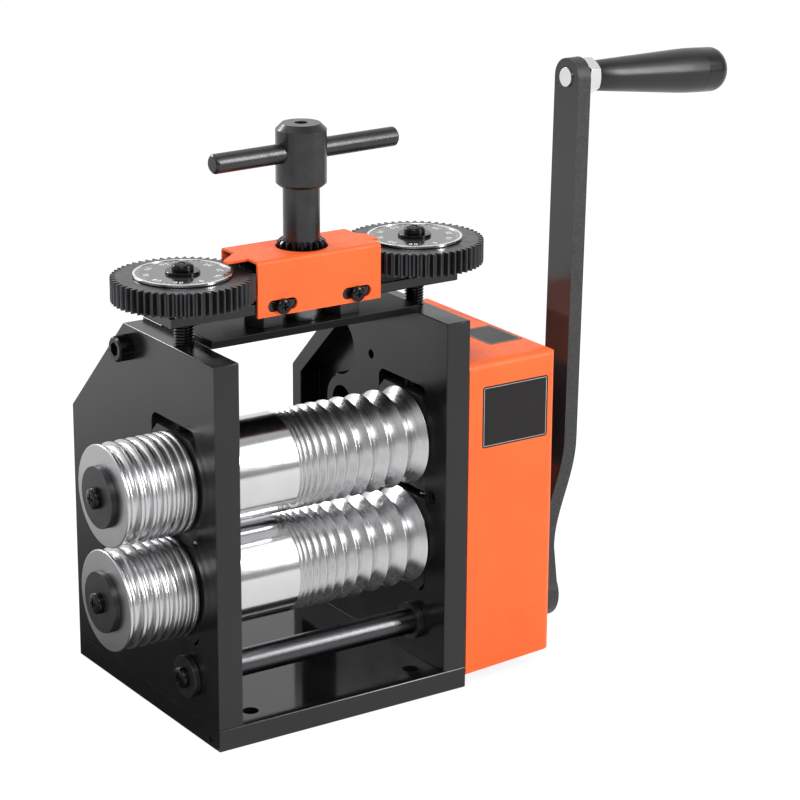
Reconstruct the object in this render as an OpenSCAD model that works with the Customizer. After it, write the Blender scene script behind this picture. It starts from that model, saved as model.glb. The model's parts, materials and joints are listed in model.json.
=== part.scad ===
/* [Frame] */
// Width across the outer faces of the side plates
frame_w = 150; // [144:1:160]
// Depth of the base and of the side plates
frame_d = 150; // [146:1:164]
// Thickness of the base
base_t = 11.5; // [10:0.5:16]
// Radius of the bench bolt holes
base_hole_r = 4.25; // [3:0.25:5.5]
// Distance of the bench bolt holes from the left and right edges of the base
base_hole_side_inset = 26.1; // [22:0.1:35]
// Distance of the bench bolt holes from the front and rear edges of the base
base_hole_end_inset = 13.5; // [9:0.5:23]
// Thickness of a side plate
plate_t = 14; // [13:0.5:16]
// Height of a side plate above the base
plate_h = 190; // [186:1:208]
// Length of a side plate's flat top, ahead of its sloped rear corner
plate_top_d = 91; // [84:1:108]
// Distance from the front of a side plate to its window
window_front = 19; // [16:0.5:24]
// Width of the window that guides the bearing blocks
window_w = 44; // [41:0.5:47]
// Height of the window's foot above the base
window_foot = 38.5; // [36:0.5:44]
// Radius of the window's corners
window_corner_r = 5; // [2:0.5:7]
// Depth of the pocket in the inner face of each side plate
pocket_depth = 12.5; // [8:0.5:12.5]
// Width of the rim left behind and above the pocket
pocket_rim = 9; // [7:0.5:14]

/* [Rolls] */
// Radius of the rolls and of the side rollers
roll_r = 26; // [24.5:0.5:27.5]
// Gap between the two rolls as the mill stands
roll_gap = 3; // [0.5:0.5:5]
// Length of the plain part of each roll
plain_len = 42.7; // [30:0.1:55]
// Flat land between two square wire grooves
v_land = 0.35; // [0.2:0.05:0.6]
// Length of the side rollers
side_roll_len = 39; // [37:0.5:44]
// Width of the widest half round groove
round_groove_w = 6; // [4:0.25:6.5]
// Radius of the roll journals
journal_r = 11; // [9.5:0.5:12]
// Radius of the roll ends that carry the side rollers and the gears
stub_r = 9; // [7:0.5:9.4]

/* [Bearing blocks] */
// Height from the foot of a lower block to the axis of its roll
block_foot = 26.5; // [24:0.5:30]
// Height from the axis of the upper roll to the top of its block
block_head = 26; // [24:0.5:30]
// Wall of the roll bushes
bush_wall = 4; // [2:0.5:5]
// Free height above an upper block as the mill stands
lift_room = 5.5; // [4.5:0.5:8]
// Depth of the spring pockets in the blocks
spring_pocket = 8; // [5:0.5:10]

/* [Gear drive] */
// Radius of the crank shaft
shaft_r = 7; // [6:0.25:8]
// Distance that the crank shaft lies ahead of the rolls
shaft_ahead = 13; // [10:0.5:16]
// Teeth of the pinion on the crank shaft
drive_teeth = 15; // [13:1:17]
// Teeth of the reduction gear on the lower roll
reduction_teeth = 38; // [34:1:40]
// Module of the reduction gears
drive_module = 1.75; // [1.6:0.05:1.85]
// Width of the reduction gears
drive_face = 14; // [10:0.5:15]
// Teeth of each long toothed gear that couples the two rolls
roll_gear_teeth = 12; // [11:1:14]
// Width of the long toothed gears
roll_gear_face = 18; // [12:0.5:19]

/* [Crank] */
// Radius of the crank's circle, from the crank shaft to the grip
crank_r = 281; // [240:1:300]
// Width of the crank arm
arm_w = 20.2; // [18:0.2:26]
// Thickness of the crank arm
arm_t = 8.2; // [6:0.2:9]
// Distance that the arm steps outward between its hub and its grip
arm_step = 13.3; // [10:0.1:18]
// Outward lean of the arm above its step, in degrees
arm_lean = 0.9; // [0:0.1:2]
// Length of the crank hub
hub_len = 13.6; // [13.4:0.2:18]
// Radius of the crank hub
hub_r = 15; // [13:0.5:17]
// Length of the grip
grip_len = 86.5; // [80:0.5:95]
// Length of the grip's tapered part, from the nut
grip_taper_len = 62; // [50:0.5:70]
// Radius of the grip at its thick end
grip_r = 11.9; // [10:0.1:13]
// Radius of the grip beside the nut
grip_root_r = 7.9; // [6.5:0.1:8.5]
// Downward lean of the grip and its spindle, in degrees
grip_lean = 3.4; // [0:0.1:4]

/* [Gear cover] */
// Distance that the gear cover stands out from the side plate
gear_cover_w = 55.7; // [52:0.1:60]
// Height from the tip of the upper long toothed gear to the top of the gear cover, as the mill stands
gear_cover_headroom = 16.3; // [14:0.1:20]
// Thickness of the gear cover's sheet
gear_cover_t = 1.5; // [1:0.1:2]
// Outer radius of the gear cover's bends
gear_cover_bend_r = 5; // [2.2:0.2:6.4]
// Distance that the gear cover hangs below the top of the base beside the plate
gear_cover_drop = 4.6; // [0:0.1:8]
// Rise of the gear cover's foot from the plate to its outer edge
gear_cover_rise = 3; // [0:0.1:4]

/* [Pressure screws and dials] */
// Radius of the pressure screws
screw_r = 5; // [4.5:0.25:6]
// Teeth of each dial gear
dial_teeth = 55; // [50:1:56]
// Teeth of the handle pinion and of each idler pinion
idler_teeth = 18; // [17:1:20]
// Height of the dial gears
dial_gear_h = 12; // [8:0.5:12]
// Height of the dial gears above the bridge as the mill stands
dial_rise = 3.8; // [3.4:0.1:4.8]
// Radius of the dial plates
dial_plate_r = 24.5; // [20:0.5:26]

/* [Bridge and top cover] */
// Thickness of the cross plate that carries the bridge
cross_t = 4; // [3:0.5:6]
// Height of the posts between the cross plate and the bridge
post_h = 9.9; // [8:0.1:13]
// Thickness of the bridge
bridge_t = 5.5; // [4.5:0.5:7]
// Distance that the bridge reaches out beyond each side plate
bridge_reach = 9; // [6:0.5:15]
// Depth of the bridge
bridge_d = 32.5; // [31.5:0.5:36]
// Length of the top cover
top_cover_l = 72; // [64:1:76]
// Height of the room inside the top cover, above the bridge
top_cover_room = 20; // [19.5:0.1:24]
// Thickness of the top cover's sheet
top_cover_t = 1.4; // [1:0.1:1.8]

/* [Handle] */
// Radius of the handle's stem
stem_r = 9.3; // [7:0.1:11]
// Length of the stem between the pinion and the head
stem_len = 27.4; // [20:0.2:40]
// Radius of the handle's head
head_r = 12.8; // [11:0.1:15]
// Length of the handle's head
head_len = 31.4; // [26:0.1:36]
// Radius of the handle bar
bar_r = 5; // [4:0.25:6]
// Length of the handle bar
bar_len = 110.5; // [90:0.5:130]

/* [Hidden] */
$fn = 64;

// Clearances and the overrun of every cut
run_gap = 0.05;
fit_gap = 0.03;
block_gap = 0.3;
overrun = 1;

// Heads of the pan head and cap screws, and their recesses as shares of the head
pan_head_r = 5.5;
pan_head_h = 3.8;
pan_dome_share = 2;
pan_slot_l_share = 1.2;
pan_slot_w_share = 0.22;
pan_slot_depth_share = 0.55;
cap_socket_r_share = 0.58;
cap_socket_depth_share = 0.6;
cap_chamfer_share = 0.12;
set_socket_r_share = 0.55;
set_socket_depth_share = 0.5;

// Small details of the base and the side plates
edge_hole_r = 1.5;
edge_hole_depth = 6;
edge_hole_inset = 8.4;
edge_hole_z_share = 0.37;
base_screw_r = 4;
base_screw_head_r = 6.5;
base_screw_head_h = 6;
base_screw_grip = 15;
base_screw_inset = 12;
base_screw_rear_inset = 22;
pocket_front = 105;
pocket_foot = 18.5;
pocket_bay_r = 16.2;
pocket_bay_y = 103;
pocket_bay_drop = 36.5;
pocket_top_rim = 20.5;
pocket_shoulder = 10;
boss_r = 14.7;
boss_y = 99;
boss_drop = 68;
boss_hole_r = 9.5;
boss_hole_depth = 8;
set_screw_r = 3.5;
set_screw_y = 13;
set_screw_z = 93.3;
set_screw_len = 8;
set_screw_sink = 1;

// Tie bar, cross plate and what fastens them
tie_y = 86;
tie_d = 20;
tie_h = 17.5;
tie_screw_y = 86;
tie_screw_drop = 11.5;
tie_screw_r = 4;
tie_screw_head_r = 6.7;
tie_screw_head_h = 8;
tie_screw_grip = 16;
cross_front = 26;
cross_screw_inset = 22;
cross_screw_r = 2.5;
cross_screw_head_r = 5;
cross_screw_grip = 10;

// Rolls, their bushes, blocks and springs
v_groove_shares = [0.11, 0.17, 0.22, 0.28, 0.33, 0.39, 0.44, 0.56, 0.67, 0.78, 0.89, 1];
round_groove_shares = [1, 0.83, 0.67, 0.58, 0.5, 0.42, 0.33];
barrel_gap = 0.3;
barrel_chamfer = 0.5;
block_relief = 0.6;
side_roll_gap = 1;
flat_depth = 1.5;
roll_washer_r = 15.7;
gear_washer_r = 12;
roll_washer_t = 3.5;
roll_screw_r = 3;
roll_screw_grip = 18;
spring_coil_r = 3.6;
spring_wire_r = 0.75;
spring_turns = 6;
spring_steps = 12;
spring_sides = 6;
spring_offset = 14.4;
spring_pocket_gap = 0.35;

// Crank shaft, gears and crank
bush_flange_r = 10;
bush_flange_t = 4;
shaft_bush_wall = 2;
shaft_washer_r = 11;
shaft_washer_t = 3.5;
shaft_proud = 0.3;
pressure_angle = 20;
drive_backlash = 0.2;
drive_addendum_share = 0.95;
dedendum_share = 1.25;
drive_flank_steps = 3;
plate_gear_gap = 2;
gear_hub_len = 3;
gear_hub_r = 14;
roll_gear_addendum = 2.7;
roll_gear_dedendum = 5.9;
roll_gear_backlash = 1.3;
pinion_hub_r = 10;
pinion_hub_len = 6;
cover_crank_gap = 1.3;
arm_inset = 5.1;
arm_relief = 0.6;
arm_flare_z = 27;
step_start = 27;
step_len = 60.5;
step_points = 14;
lock_screw_r = 3;
lock_screw_len = 7;
grip_bolt_r = 5;
grip_bolt_proud = 1;
grip_pin_r = 4;
nut_af = 17;
nut_h = 7.4;
nut_gap = 0.6;
grip_gap = 0.5;
grip_end_len = 8;
grip_end_r = 9.5;
grip_end_steps = 10;
grip_round = 1.2;

// Gear cover and its posts
cover_rear_inset = 1;
cover_hole_gap = 3;
post_r = 5;
post_stub_r = 2.5;
post_stub_len = 9;
post_inset = 9.5;
front_post_z = 38.5;
upper_post_y = 70.5;
upper_post_gap = 1.3;
cover_screw_r = 2;
cover_screw_head_r = 4;
cover_screw_head_h = 2.6;
cover_screw_grip = 10;

// Pressure screws, dials and pinions
screw_pin_r = 4;
screw_pin_len = 6;
screw_neck_gap = 0.1;
screw_bridge_gap = 0.4;
dial_plate_t = 1.6;
dial_rim_w = 1.2;
dial_rim_h = 0.3;
dial_washer_r = 8.6;
dial_washer_t = 1.4;
dial_screw_r = 2;
dial_screw_grip = 12;
dial_backlash = 0.15;
dial_flank_steps = 2;
idler_h = 18.5;
pinion_gap = 0.3;

// Bridge, posts, top cover and handle
bridge_front = 16;
post_pin_r = 4;
post_pin_end_gap = 0.8;
post_bush_gap = 1.3;
clip_r = 7.5;
clip_t = 1.2;
clip_groove_r = 4.2;
clip_pocket_r = 8.2;
clip_pocket_h = 3;
clip_gap = 0.3;
spindle_r = 5;
spindle_end_gap = 0.5;
handle_pinion_h = 24.5;
pinion_hole_gap = 0.7;
cover_skirt = 1.7;
cover_bend_r = 2;
slot_x = 21.7;
slot_l = 17;
slot_h = 6;
slot_rise = 0.6;
slot_screw_r = 2;
slot_screw_head_r = 4;
slot_screw_head_h = 2.6;
slot_screw_grip = 8;
pointer_reach = 12.2;
pointer_front = 8.3;
pointer_back = 5.4;
pointer_tip_w = 3.2;
head_chamfer = 3;
bar_height = 17.3;
bar_turn = 3.4;
bar_shift = 2.6;
bar_chamfer = 1.2;
top_hole_r = 3.3;
lock_sink = 1.5;

// Faces and levels of the frame
inner_x = frame_w / 2 - plate_t;
outer_x = frame_w / 2;
mid_x = frame_w / 2 - plate_t / 2;
front_y = -frame_d / 2;
rear_y = frame_d / 2;
plate_top = base_t + plate_h;
slope_drop = frame_d - plate_top_d;
window_z = base_t + window_foot;
cross_screw_x = inner_x - cross_screw_inset;

// Rolls and blocks
roll_y = front_y + window_front + window_w / 2;
lower_z = window_z + block_foot;
roll_distance = 2 * roll_r + roll_gap;
upper_z = lower_z + roll_distance;
window_top = upper_z + block_head + lift_room;
block_w = window_w - 2 * block_gap;
block_shoulder = roll_r - block_relief;
bush_out_r = journal_r + run_gap + bush_wall;
barrel_x = inner_x - barrel_gap;
side_start = outer_x + side_roll_gap;
side_end = side_start + side_roll_len;
gear_x = outer_x + plate_gear_gap;
reduction_x = gear_x + roll_gear_face + gear_hub_len;
lower_end_x = reduction_x + drive_face;
upper_end_x = gear_x + roll_gear_face;
spring_floor = lower_z + block_shoulder - spring_pocket;
spring_len = roll_distance - 2 * block_shoulder + 2 * spring_pocket;
spring_pocket_r = spring_coil_r + spring_wire_r + spring_pocket_gap;
roll_gear_tip_r = roll_distance / 2 + roll_gear_addendum;
upper_post_z = upper_z + roll_gear_tip_r + upper_post_gap + post_r;

// Crank shaft and crank
drive_distance = drive_module * (drive_teeth + reduction_teeth) / 2;
shaft_y = roll_y - shaft_ahead;
shaft_z = lower_z - sqrt(drive_distance * drive_distance - shaft_ahead * shaft_ahead);
shaft_left_x = -outer_x - shaft_proud;
shaft_bush_r = shaft_r + run_gap + shaft_bush_wall;
cover_x = outer_x + gear_cover_w;
hub_x = cover_x + cover_crank_gap;
arm_x = hub_x + arm_inset;
arm_top_x = arm_x + arm_step;
arm_step_z = shaft_z + step_start + step_len;
grip_z = shaft_z + crank_r;
grip_mid_x = arm_top_x + arm_t / 2 + tan(arm_lean) * (grip_z - arm_step_z);
nut_start = arm_t / 2 + nut_gap;
grip_start = nut_start + nut_h + grip_gap;
cover_top = upper_z + roll_gear_tip_r + gear_cover_headroom;
cover_foot = base_t - gear_cover_drop;

// Gear train of the pressure screws: the handle, an idler and a dial gear stand in line
dial_module = mid_x / (idler_teeth + (idler_teeth + dial_teeth) / 2);
idler_x = dial_module * idler_teeth;
idler_tip_r = dial_module * (idler_teeth / 2 + 1);
idler_root_r = dial_module * (idler_teeth / 2 - dedendum_share);
post_af = 2 * idler_root_r;
bush_r = idler_x - post_af / sqrt(3) - post_bush_gap;
cross_top = plate_top + cross_t;
bridge_z = cross_top + post_h;
bridge_top = bridge_z + bridge_t;
dial_z = bridge_top + dial_rise;
dial_top = dial_z + dial_gear_h;
pinion_z = bridge_top + pinion_gap;
stem_z = pinion_z + handle_pinion_h;
head_z = stem_z + stem_len;
handle_top = head_z + head_len;
bar_z = head_z + bar_height;
bridge_y = roll_y - bridge_front;

// Angle in degrees between a flank's foot on the base circle and its point at a radius
function roll_angle(cosine) = tan(acos(cosine)) * 180 / PI - acos(cosine);

// Half the angle of a tooth at radius r
function half_tooth(r, pitch_r, base_r, thick) =
    thick / pitch_r * 90 / PI + roll_angle(base_r / pitch_r) - roll_angle(min(1, base_r / r));

// Radii at which a flank has its points, from the root to the tip
function flank_radii(root_r, base_r, tip_r, steps) =
    let (foot = max(root_r, base_r))
    concat(foot > root_r ? [root_r] : [], [for (k = [0 : steps]) foot + (tip_r - foot) * k / steps]);

// Outline of a gear with involute flanks and a tooth centred on the angle turn
function gear_outline(teeth, pitch_r, root_r, tip_r, thick, steps, turn) =
    let (base_r = pitch_r * cos(pressure_angle))
    let (radii = flank_radii(root_r, base_r, tip_r, steps))
    let (last = len(radii) - 1)
    [for (i = [0 : teeth - 1]) for (side = [-1, 1]) for (k = [0 : last])
        let (r = side < 0 ? radii[k] : radii[last - k])
        let (a = turn + i * 360 / teeth + side * half_tooth(max(r, base_r), pitch_r, base_r, thick))
        [r * cos(a), r * sin(a)]];

// Turn that sets gear B in mesh with gear A, seen from A in the direction toward B
function mesh_turn(turn_a, toward, teeth_a, teeth_b) =
    toward + 180 - (turn_a - toward) * teeth_a / teeth_b + 180 / teeth_b;

drive_toward = atan2(lower_z - shaft_z, roll_y - shaft_y);
reduction_turn = mesh_turn(0, drive_toward, drive_teeth, reduction_teeth);
upper_gear_turn = mesh_turn(0, 90, roll_gear_teeth, roll_gear_teeth);
right_idler_turn = mesh_turn(0, 0, idler_teeth, idler_teeth);
left_idler_turn = mesh_turn(0, 180, idler_teeth, idler_teeth);
right_dial_turn = mesh_turn(right_idler_turn, 0, idler_teeth, dial_teeth);
left_dial_turn = mesh_turn(left_idler_turn, 180, idler_teeth, dial_teeth);

// Extrudes an outline drawn in Y and Z along X
module extrude_x(x0, x1) {
    translate([x0, 0, 0]) rotate([90, 0, 90]) linear_extrude(x1 - x0) children();
}

// Cylinder along X at a place in Y and Z
module rod_x(x0, x1, y, z, r) {
    translate([x0, y, z]) rotate([0, 90, 0]) cylinder(r = r, h = x1 - x0);
}

// Solid of revolution about X: the outline has the radius in x and the place along X in y
module turned_x(y, z) {
    translate([0, y, z]) rotate([0, 90, 0]) rotate_extrude() children();
}

// Cuts or adds a shape at the same place on the left and on the right
module both_sides() {
    children();
    mirror([1, 0, 0]) children();
}

module round_rect(w, h, r) {
    translate([r, 0]) square([w - 2 * r, h]);
    translate([0, r]) square([w, h - 2 * r]);
    for (x = [r, w - r]) for (y = [r, h - r]) translate([x, y]) circle(r = r);
}

// Round bar end with one flat, which turns what sits on it
module flat_disc(r, gap) {
    difference() {
        circle(r = r + gap);
        translate([r - flat_depth + gap, -r - overrun]) square([flat_depth + overrun, 2 * (r + overrun)]);
    }
}

// Pan head screw that points down from z = 0, with a cross recess
module pan_screw(r, head, h, grip) {
    dome_r = pan_dome_share * head;
    slot_l = pan_slot_l_share * head;
    slot_w = pan_slot_w_share * head;
    translate([0, 0, -grip]) cylinder(r = r, h = grip);
    difference() {
        intersection() {
            cylinder(r = head, h = h);
            translate([0, 0, h - dome_r]) sphere(r = dome_r);
        }
        for (turn = [0, 90]) rotate([0, 0, turn])
            translate([-slot_l / 2, -slot_w / 2, h - pan_slot_depth_share * h]) cube([slot_l, slot_w, h]);
    }
}

// Socket head cap screw that points down from z = 0
module cap_screw(r, head, h, grip) {
    chamfer = cap_chamfer_share * h;
    translate([0, 0, -grip]) cylinder(r = r, h = grip);
    difference() {
        union() {
            cylinder(r = head, h = h - chamfer);
            translate([0, 0, h - chamfer]) cylinder(r1 = head, r2 = head - chamfer, h = chamfer);
        }
        translate([0, 0, h - cap_socket_depth_share * h])
            cylinder(r = cap_socket_r_share * head, h = h, $fn = 6);
    }
}

module base_screw_places() {
    for (y = [front_y + base_screw_inset, 0, rear_y - base_screw_rear_inset])
        both_sides() translate([mid_x, y, 0]) children();
}

module base_plate() {
    color("#17181a") difference() {
        translate([-outer_x, front_y, 0]) cube([frame_w, frame_d, base_t]);
        both_sides() for (y = [front_y + base_hole_end_inset, rear_y - base_hole_end_inset])
            translate([outer_x - base_hole_side_inset, y, -overrun])
                cylinder(r = base_hole_r, h = base_t + 2 * overrun);
        base_screw_places() {
            translate([0, 0, -overrun])
                cylinder(r = base_screw_head_r + fit_gap, h = base_screw_head_h + overrun);
            cylinder(r = base_screw_r + fit_gap, h = base_t + overrun);
        }
        rod_x(-outer_x - overrun, -outer_x + edge_hole_depth, front_y + edge_hole_inset,
            edge_hole_z_share * base_t, edge_hole_r);
    }
}

module base_screws() {
    color("#2a2a2c") base_screw_places() translate([0, 0, base_screw_head_h]) rotate([180, 0, 0])
        cap_screw(base_screw_r, base_screw_head_r, base_screw_head_h,
            base_t - base_screw_head_h + base_screw_grip);
}

module plate_outline() {
    polygon([[front_y, base_t], [rear_y, base_t], [rear_y, plate_top - slope_drop],
        [front_y + plate_top_d, plate_top], [front_y, plate_top]]);
}

// Pocket behind the window: a straight part, a bay above it and a round boss left standing between them
module pocket_outline() {
    wall_y = rear_y - pocket_rim;
    slope_sum = rear_y + plate_top - slope_drop - pocket_rim * 4 / 3;
    ceiling = plate_top - pocket_top_rim;
    difference() {
        intersection() {
            union() {
                translate([front_y + pocket_front, base_t + pocket_foot])
                    square([frame_d - pocket_front, plate_h]);
                translate([front_y + pocket_bay_y, plate_top - pocket_bay_drop]) circle(r = pocket_bay_r);
                translate([front_y + pocket_bay_y - pocket_shoulder, plate_top - pocket_bay_drop])
                    square([2 * pocket_shoulder, plate_h]);
            }
            polygon([[front_y, base_t], [wall_y, base_t], [wall_y, slope_sum - wall_y],
                [slope_sum - ceiling, ceiling], [front_y, ceiling]]);
        }
        translate([front_y + boss_y, plate_top - boss_drop]) circle(r = boss_r);
    }
}

// Side plate as it stands on the right; the left one is its mirror image
module side_plate() {
    difference() {
        extrude_x(inner_x, outer_x) plate_outline();
        extrude_x(inner_x - overrun, outer_x + overrun) translate([roll_y - window_w / 2, window_z])
            round_rect(window_w, window_top - window_z, window_corner_r);
        extrude_x(inner_x - overrun, inner_x + pocket_depth) pocket_outline();
        rod_x(inner_x - overrun, inner_x + boss_hole_depth, front_y + boss_y, plate_top - boss_drop,
            boss_hole_r);
        rod_x(inner_x - overrun, outer_x + overrun, shaft_y, shaft_z, shaft_bush_r + fit_gap);
        rod_x(inner_x - overrun, outer_x + overrun, front_y + tie_screw_y, plate_top - tie_screw_drop,
            tie_screw_r + fit_gap);
        translate([mid_x, roll_y, window_top - overrun])
            cylinder(r = screw_r + run_gap, h = plate_top - window_top + 2 * overrun);
        base_screw_places() cylinder(r = base_screw_r + fit_gap, h = base_t + base_screw_grip + overrun);
    }
}

module left_side_plate() {
    color("#1b1c1f") mirror([1, 0, 0]) side_plate();
}

module right_side_plate() {
    color("#1b1c1f") difference() {
        side_plate();
        rod_x(inner_x - overrun, inner_x + set_screw_sink + set_screw_len, front_y + set_screw_y,
            base_t + set_screw_z, set_screw_r + fit_gap);
        cover_post_places() rod_x(outer_x - post_stub_len, outer_x + overrun, 0, 0, post_stub_r + fit_gap);
        rod_x(inner_x - overrun, outer_x, front_y + upper_post_y, upper_post_z, post_stub_r + fit_gap);
    }
}

module plate_set_screw() {
    color("#2a2a2c") difference() {
        rod_x(inner_x + set_screw_sink, inner_x + set_screw_sink + set_screw_len, front_y + set_screw_y,
            base_t + set_screw_z, set_screw_r);
        translate([inner_x, front_y + set_screw_y, base_t + set_screw_z]) rotate([0, 90, 0])
            cylinder(r = set_socket_r_share * set_screw_r,
                h = set_screw_sink + set_socket_depth_share * set_screw_len, $fn = 6);
    }
}

module tie_bar() {
    color("#1b1c1f") difference() {
        translate([-inner_x, front_y + tie_y - tie_d / 2, plate_top - tie_h])
            cube([2 * inner_x, tie_d, tie_h]);
        both_sides() rod_x(inner_x - tie_screw_grip - overrun, inner_x + overrun, front_y + tie_screw_y,
            plate_top - tie_screw_drop, tie_screw_r + fit_gap);
        both_sides() translate([cross_screw_x, front_y + tie_y, plate_top - cross_screw_grip])
            cylinder(r = cross_screw_r + fit_gap, h = cross_screw_grip + overrun);
    }
}

module tie_bar_screws() {
    color("#222326") both_sides()
        translate([outer_x, front_y + tie_screw_y, plate_top - tie_screw_drop]) rotate([0, 90, 0])
            cap_screw(tie_screw_r, tie_screw_head_r, tie_screw_head_h, plate_t + tie_screw_grip);
}

module cross_plate() {
    cross_y = front_y + cross_front;
    color("#1d1e21") difference() {
        translate([-inner_x, cross_y, plate_top])
            cube([2 * inner_x, front_y + tie_y + tie_d / 2 - cross_y, cross_t]);
        both_sides() translate([idler_x, roll_y, plate_top - overrun])
            cylinder(r = post_pin_r + fit_gap, h = cross_t + 2 * overrun);
        translate([0, roll_y, plate_top - overrun])
            cylinder(r = spindle_r + run_gap, h = cross_t + 2 * overrun);
        both_sides() translate([cross_screw_x, front_y + tie_y, plate_top]) {
            translate([0, 0, -overrun]) cylinder(r = cross_screw_r + fit_gap, h = cross_t + overrun);
            translate([0, 0, cross_t / 2]) cylinder(r = cross_screw_head_r + fit_gap, h = cross_t);
        }
    }
}

module cross_plate_screws() {
    color("#2a2a2c") both_sides() translate([cross_screw_x, front_y + tie_y, plate_top + cross_t / 2])
        cap_screw(cross_screw_r, cross_screw_head_r, cross_t / 2, cross_t / 2 + cross_screw_grip);
}

// Holes at both spring places of a block, from the level z upward by h
module spring_places() {
    for (y = [roll_y - spring_offset, roll_y + spring_offset]) translate([mid_x, y, 0]) children();
}

module lower_block() {
    difference() {
        translate([inner_x, roll_y - block_w / 2, window_z])
            cube([plate_t, block_w, block_foot + block_shoulder]);
        rod_x(inner_x - overrun, outer_x + overrun, roll_y, lower_z, bush_out_r + fit_gap);
        for (y = [-block_w / 2, block_w / 2 - window_corner_r])
            translate([inner_x - overrun, roll_y + y, window_z]) block_corner(y < 0 ? 0 : 1, 0);
        spring_places() translate([0, 0, spring_floor])
            cylinder(r = spring_pocket_r, h = spring_pocket + overrun);
    }
}

// Cut that clears the window's rounded corner with a chamfer; side and top say which corner it is
module block_corner(side, top) {
    c = window_corner_r;
    points = [[0, c], [c, 0], [0, 0]];
    rotate([90, 0, 90]) linear_extrude(plate_t + 2 * overrun)
        polygon([for (p = points) [side == 0 ? p[0] : c - p[0], top == 0 ? p[1] : c - p[1]]]);
}

module left_lower_block() {
    color("#2b2c2f") mirror([1, 0, 0]) lower_block();
}

module right_lower_block() {
    color("#2b2c2f") lower_block();
}

module upper_block() {
    block_top = upper_z + block_head;
    difference() {
        translate([inner_x, roll_y - block_w / 2, upper_z - block_shoulder])
            cube([plate_t, block_w, block_shoulder + block_head]);
        rod_x(inner_x - overrun, outer_x + overrun, roll_y, upper_z, bush_out_r + fit_gap);
        for (y = [-block_w / 2, block_w / 2 - window_corner_r])
            translate([inner_x - overrun, roll_y + y, block_top - window_corner_r])
                block_corner(y < 0 ? 0 : 1, 1);
        spring_places() translate([0, 0, upper_z - block_shoulder - overrun])
            cylinder(r = spring_pocket_r, h = spring_pocket + overrun);
        translate([mid_x, roll_y, block_top - screw_pin_len - screw_neck_gap])
            cylinder(r = screw_pin_r + run_gap, h = screw_pin_len + overrun);
    }
}

module left_upper_block() {
    color("#2b2c2f") mirror([1, 0, 0]) upper_block();
}

module right_upper_block() {
    color("#2b2c2f") upper_block();
}

// Pair of bronze bushes for the journals of the roll at height z
module roll_bushes(z) {
    color("#b98a4a") both_sides() difference() {
        rod_x(inner_x, outer_x, roll_y, z, bush_out_r);
        rod_x(inner_x - overrun, outer_x + overrun, roll_y, z, journal_r + run_gap);
    }
}

module lower_bushes() {
    roll_bushes(lower_z);
}

module upper_bushes() {
    roll_bushes(upper_z);
}

// Point i of side j on the spring's wire; a coil turns evenly from its floor to its top
function spring_point(i, j) =
    let (turn = i * 360 / spring_steps, tilt = j * 360 / spring_sides)
    let (rise = (spring_len - 2 * spring_wire_r) * i / (spring_turns * spring_steps))
    let (r = spring_coil_r + spring_wire_r * cos(tilt))
    [r * cos(turn), r * sin(turn), spring_wire_r + rise + spring_wire_r * sin(tilt)];

module coil_spring() {
    rings = spring_turns * spring_steps;
    n = spring_sides;
    points = [for (i = [0 : rings]) for (j = [0 : n - 1]) spring_point(i, j)];
    start_faces = [for (j = [1 : n - 2]) [0, j, j + 1]];
    end_faces = [for (j = [1 : n - 2]) [rings * n, rings * n + j + 1, rings * n + j]];
    wall_faces = [for (i = [0 : rings - 1]) for (j = [0 : n - 1]) for (half = [0, 1])
        let (a = i * n + j, b = i * n + (j + 1) % n)
        half == 0 ? [a, a + n, b] : [b, a + n, b + n]];
    polyhedron(points, concat(start_faces, wall_faces, end_faces));
}

module springs() {
    spring_places() translate([0, 0, spring_floor]) coil_spring();
}

module left_springs() {
    color("#8f9296") translate([-2 * mid_x, 0, 0]) springs();
}

module right_springs() {
    color("#8f9296") springs();
}

// Outline of half a roll barrel with its square wire grooves, radius in x and place along X in y
module barrel_outline() {
    count = len(v_groove_shares);
    share_sum = [for (s = v_groove_shares) 1] * v_groove_shares;
    start = -barrel_x + plain_len;
    widest = (barrel_x - start - (count + 1) * v_land) / share_sum;
    edges = [for (i = 0, x = start + v_land; i < count;
        x = x + v_groove_shares[i] * widest + v_land, i = i + 1) x];
    difference() {
        polygon([[0, -barrel_x], [roll_r - barrel_chamfer, -barrel_x], [roll_r, -barrel_x + barrel_chamfer],
            [roll_r, barrel_x - v_land], [roll_r - v_land, barrel_x], [0, barrel_x]]);
        for (i = [0 : count - 1]) let (w = v_groove_shares[i] * widest)
            polygon([[roll_r - w / 2, edges[i] + w / 2], [roll_r + overrun, edges[i] - overrun],
                [roll_r + overrun, edges[i] + w + overrun]]);
    }
}

// Roll with journals and stubs that end at the places left and right
module roll(z, right) {
    difference() {
        union() {
            turned_x(roll_y, z) {
                barrel_outline();
                translate([0, -side_start]) square([journal_r, side_start + gear_x]);
            }
            translate([0, roll_y, z]) rotate([0, 90, 0]) {
                translate([0, 0, -side_end]) linear_extrude(side_end) flat_disc(stub_r, 0);
                linear_extrude(right) flat_disc(stub_r, 0);
            }
        }
        rod_x(-side_end - overrun, -side_end + roll_screw_grip, roll_y, z, roll_screw_r + fit_gap);
        rod_x(right - roll_screw_grip, right + overrun, roll_y, z, roll_screw_r + fit_gap);
    }
}

module lower_roll() {
    color("#cfd2d6") roll(lower_z, lower_end_x);
}

module upper_roll() {
    color("#cfd2d6") roll(upper_z, upper_end_x);
}

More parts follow.
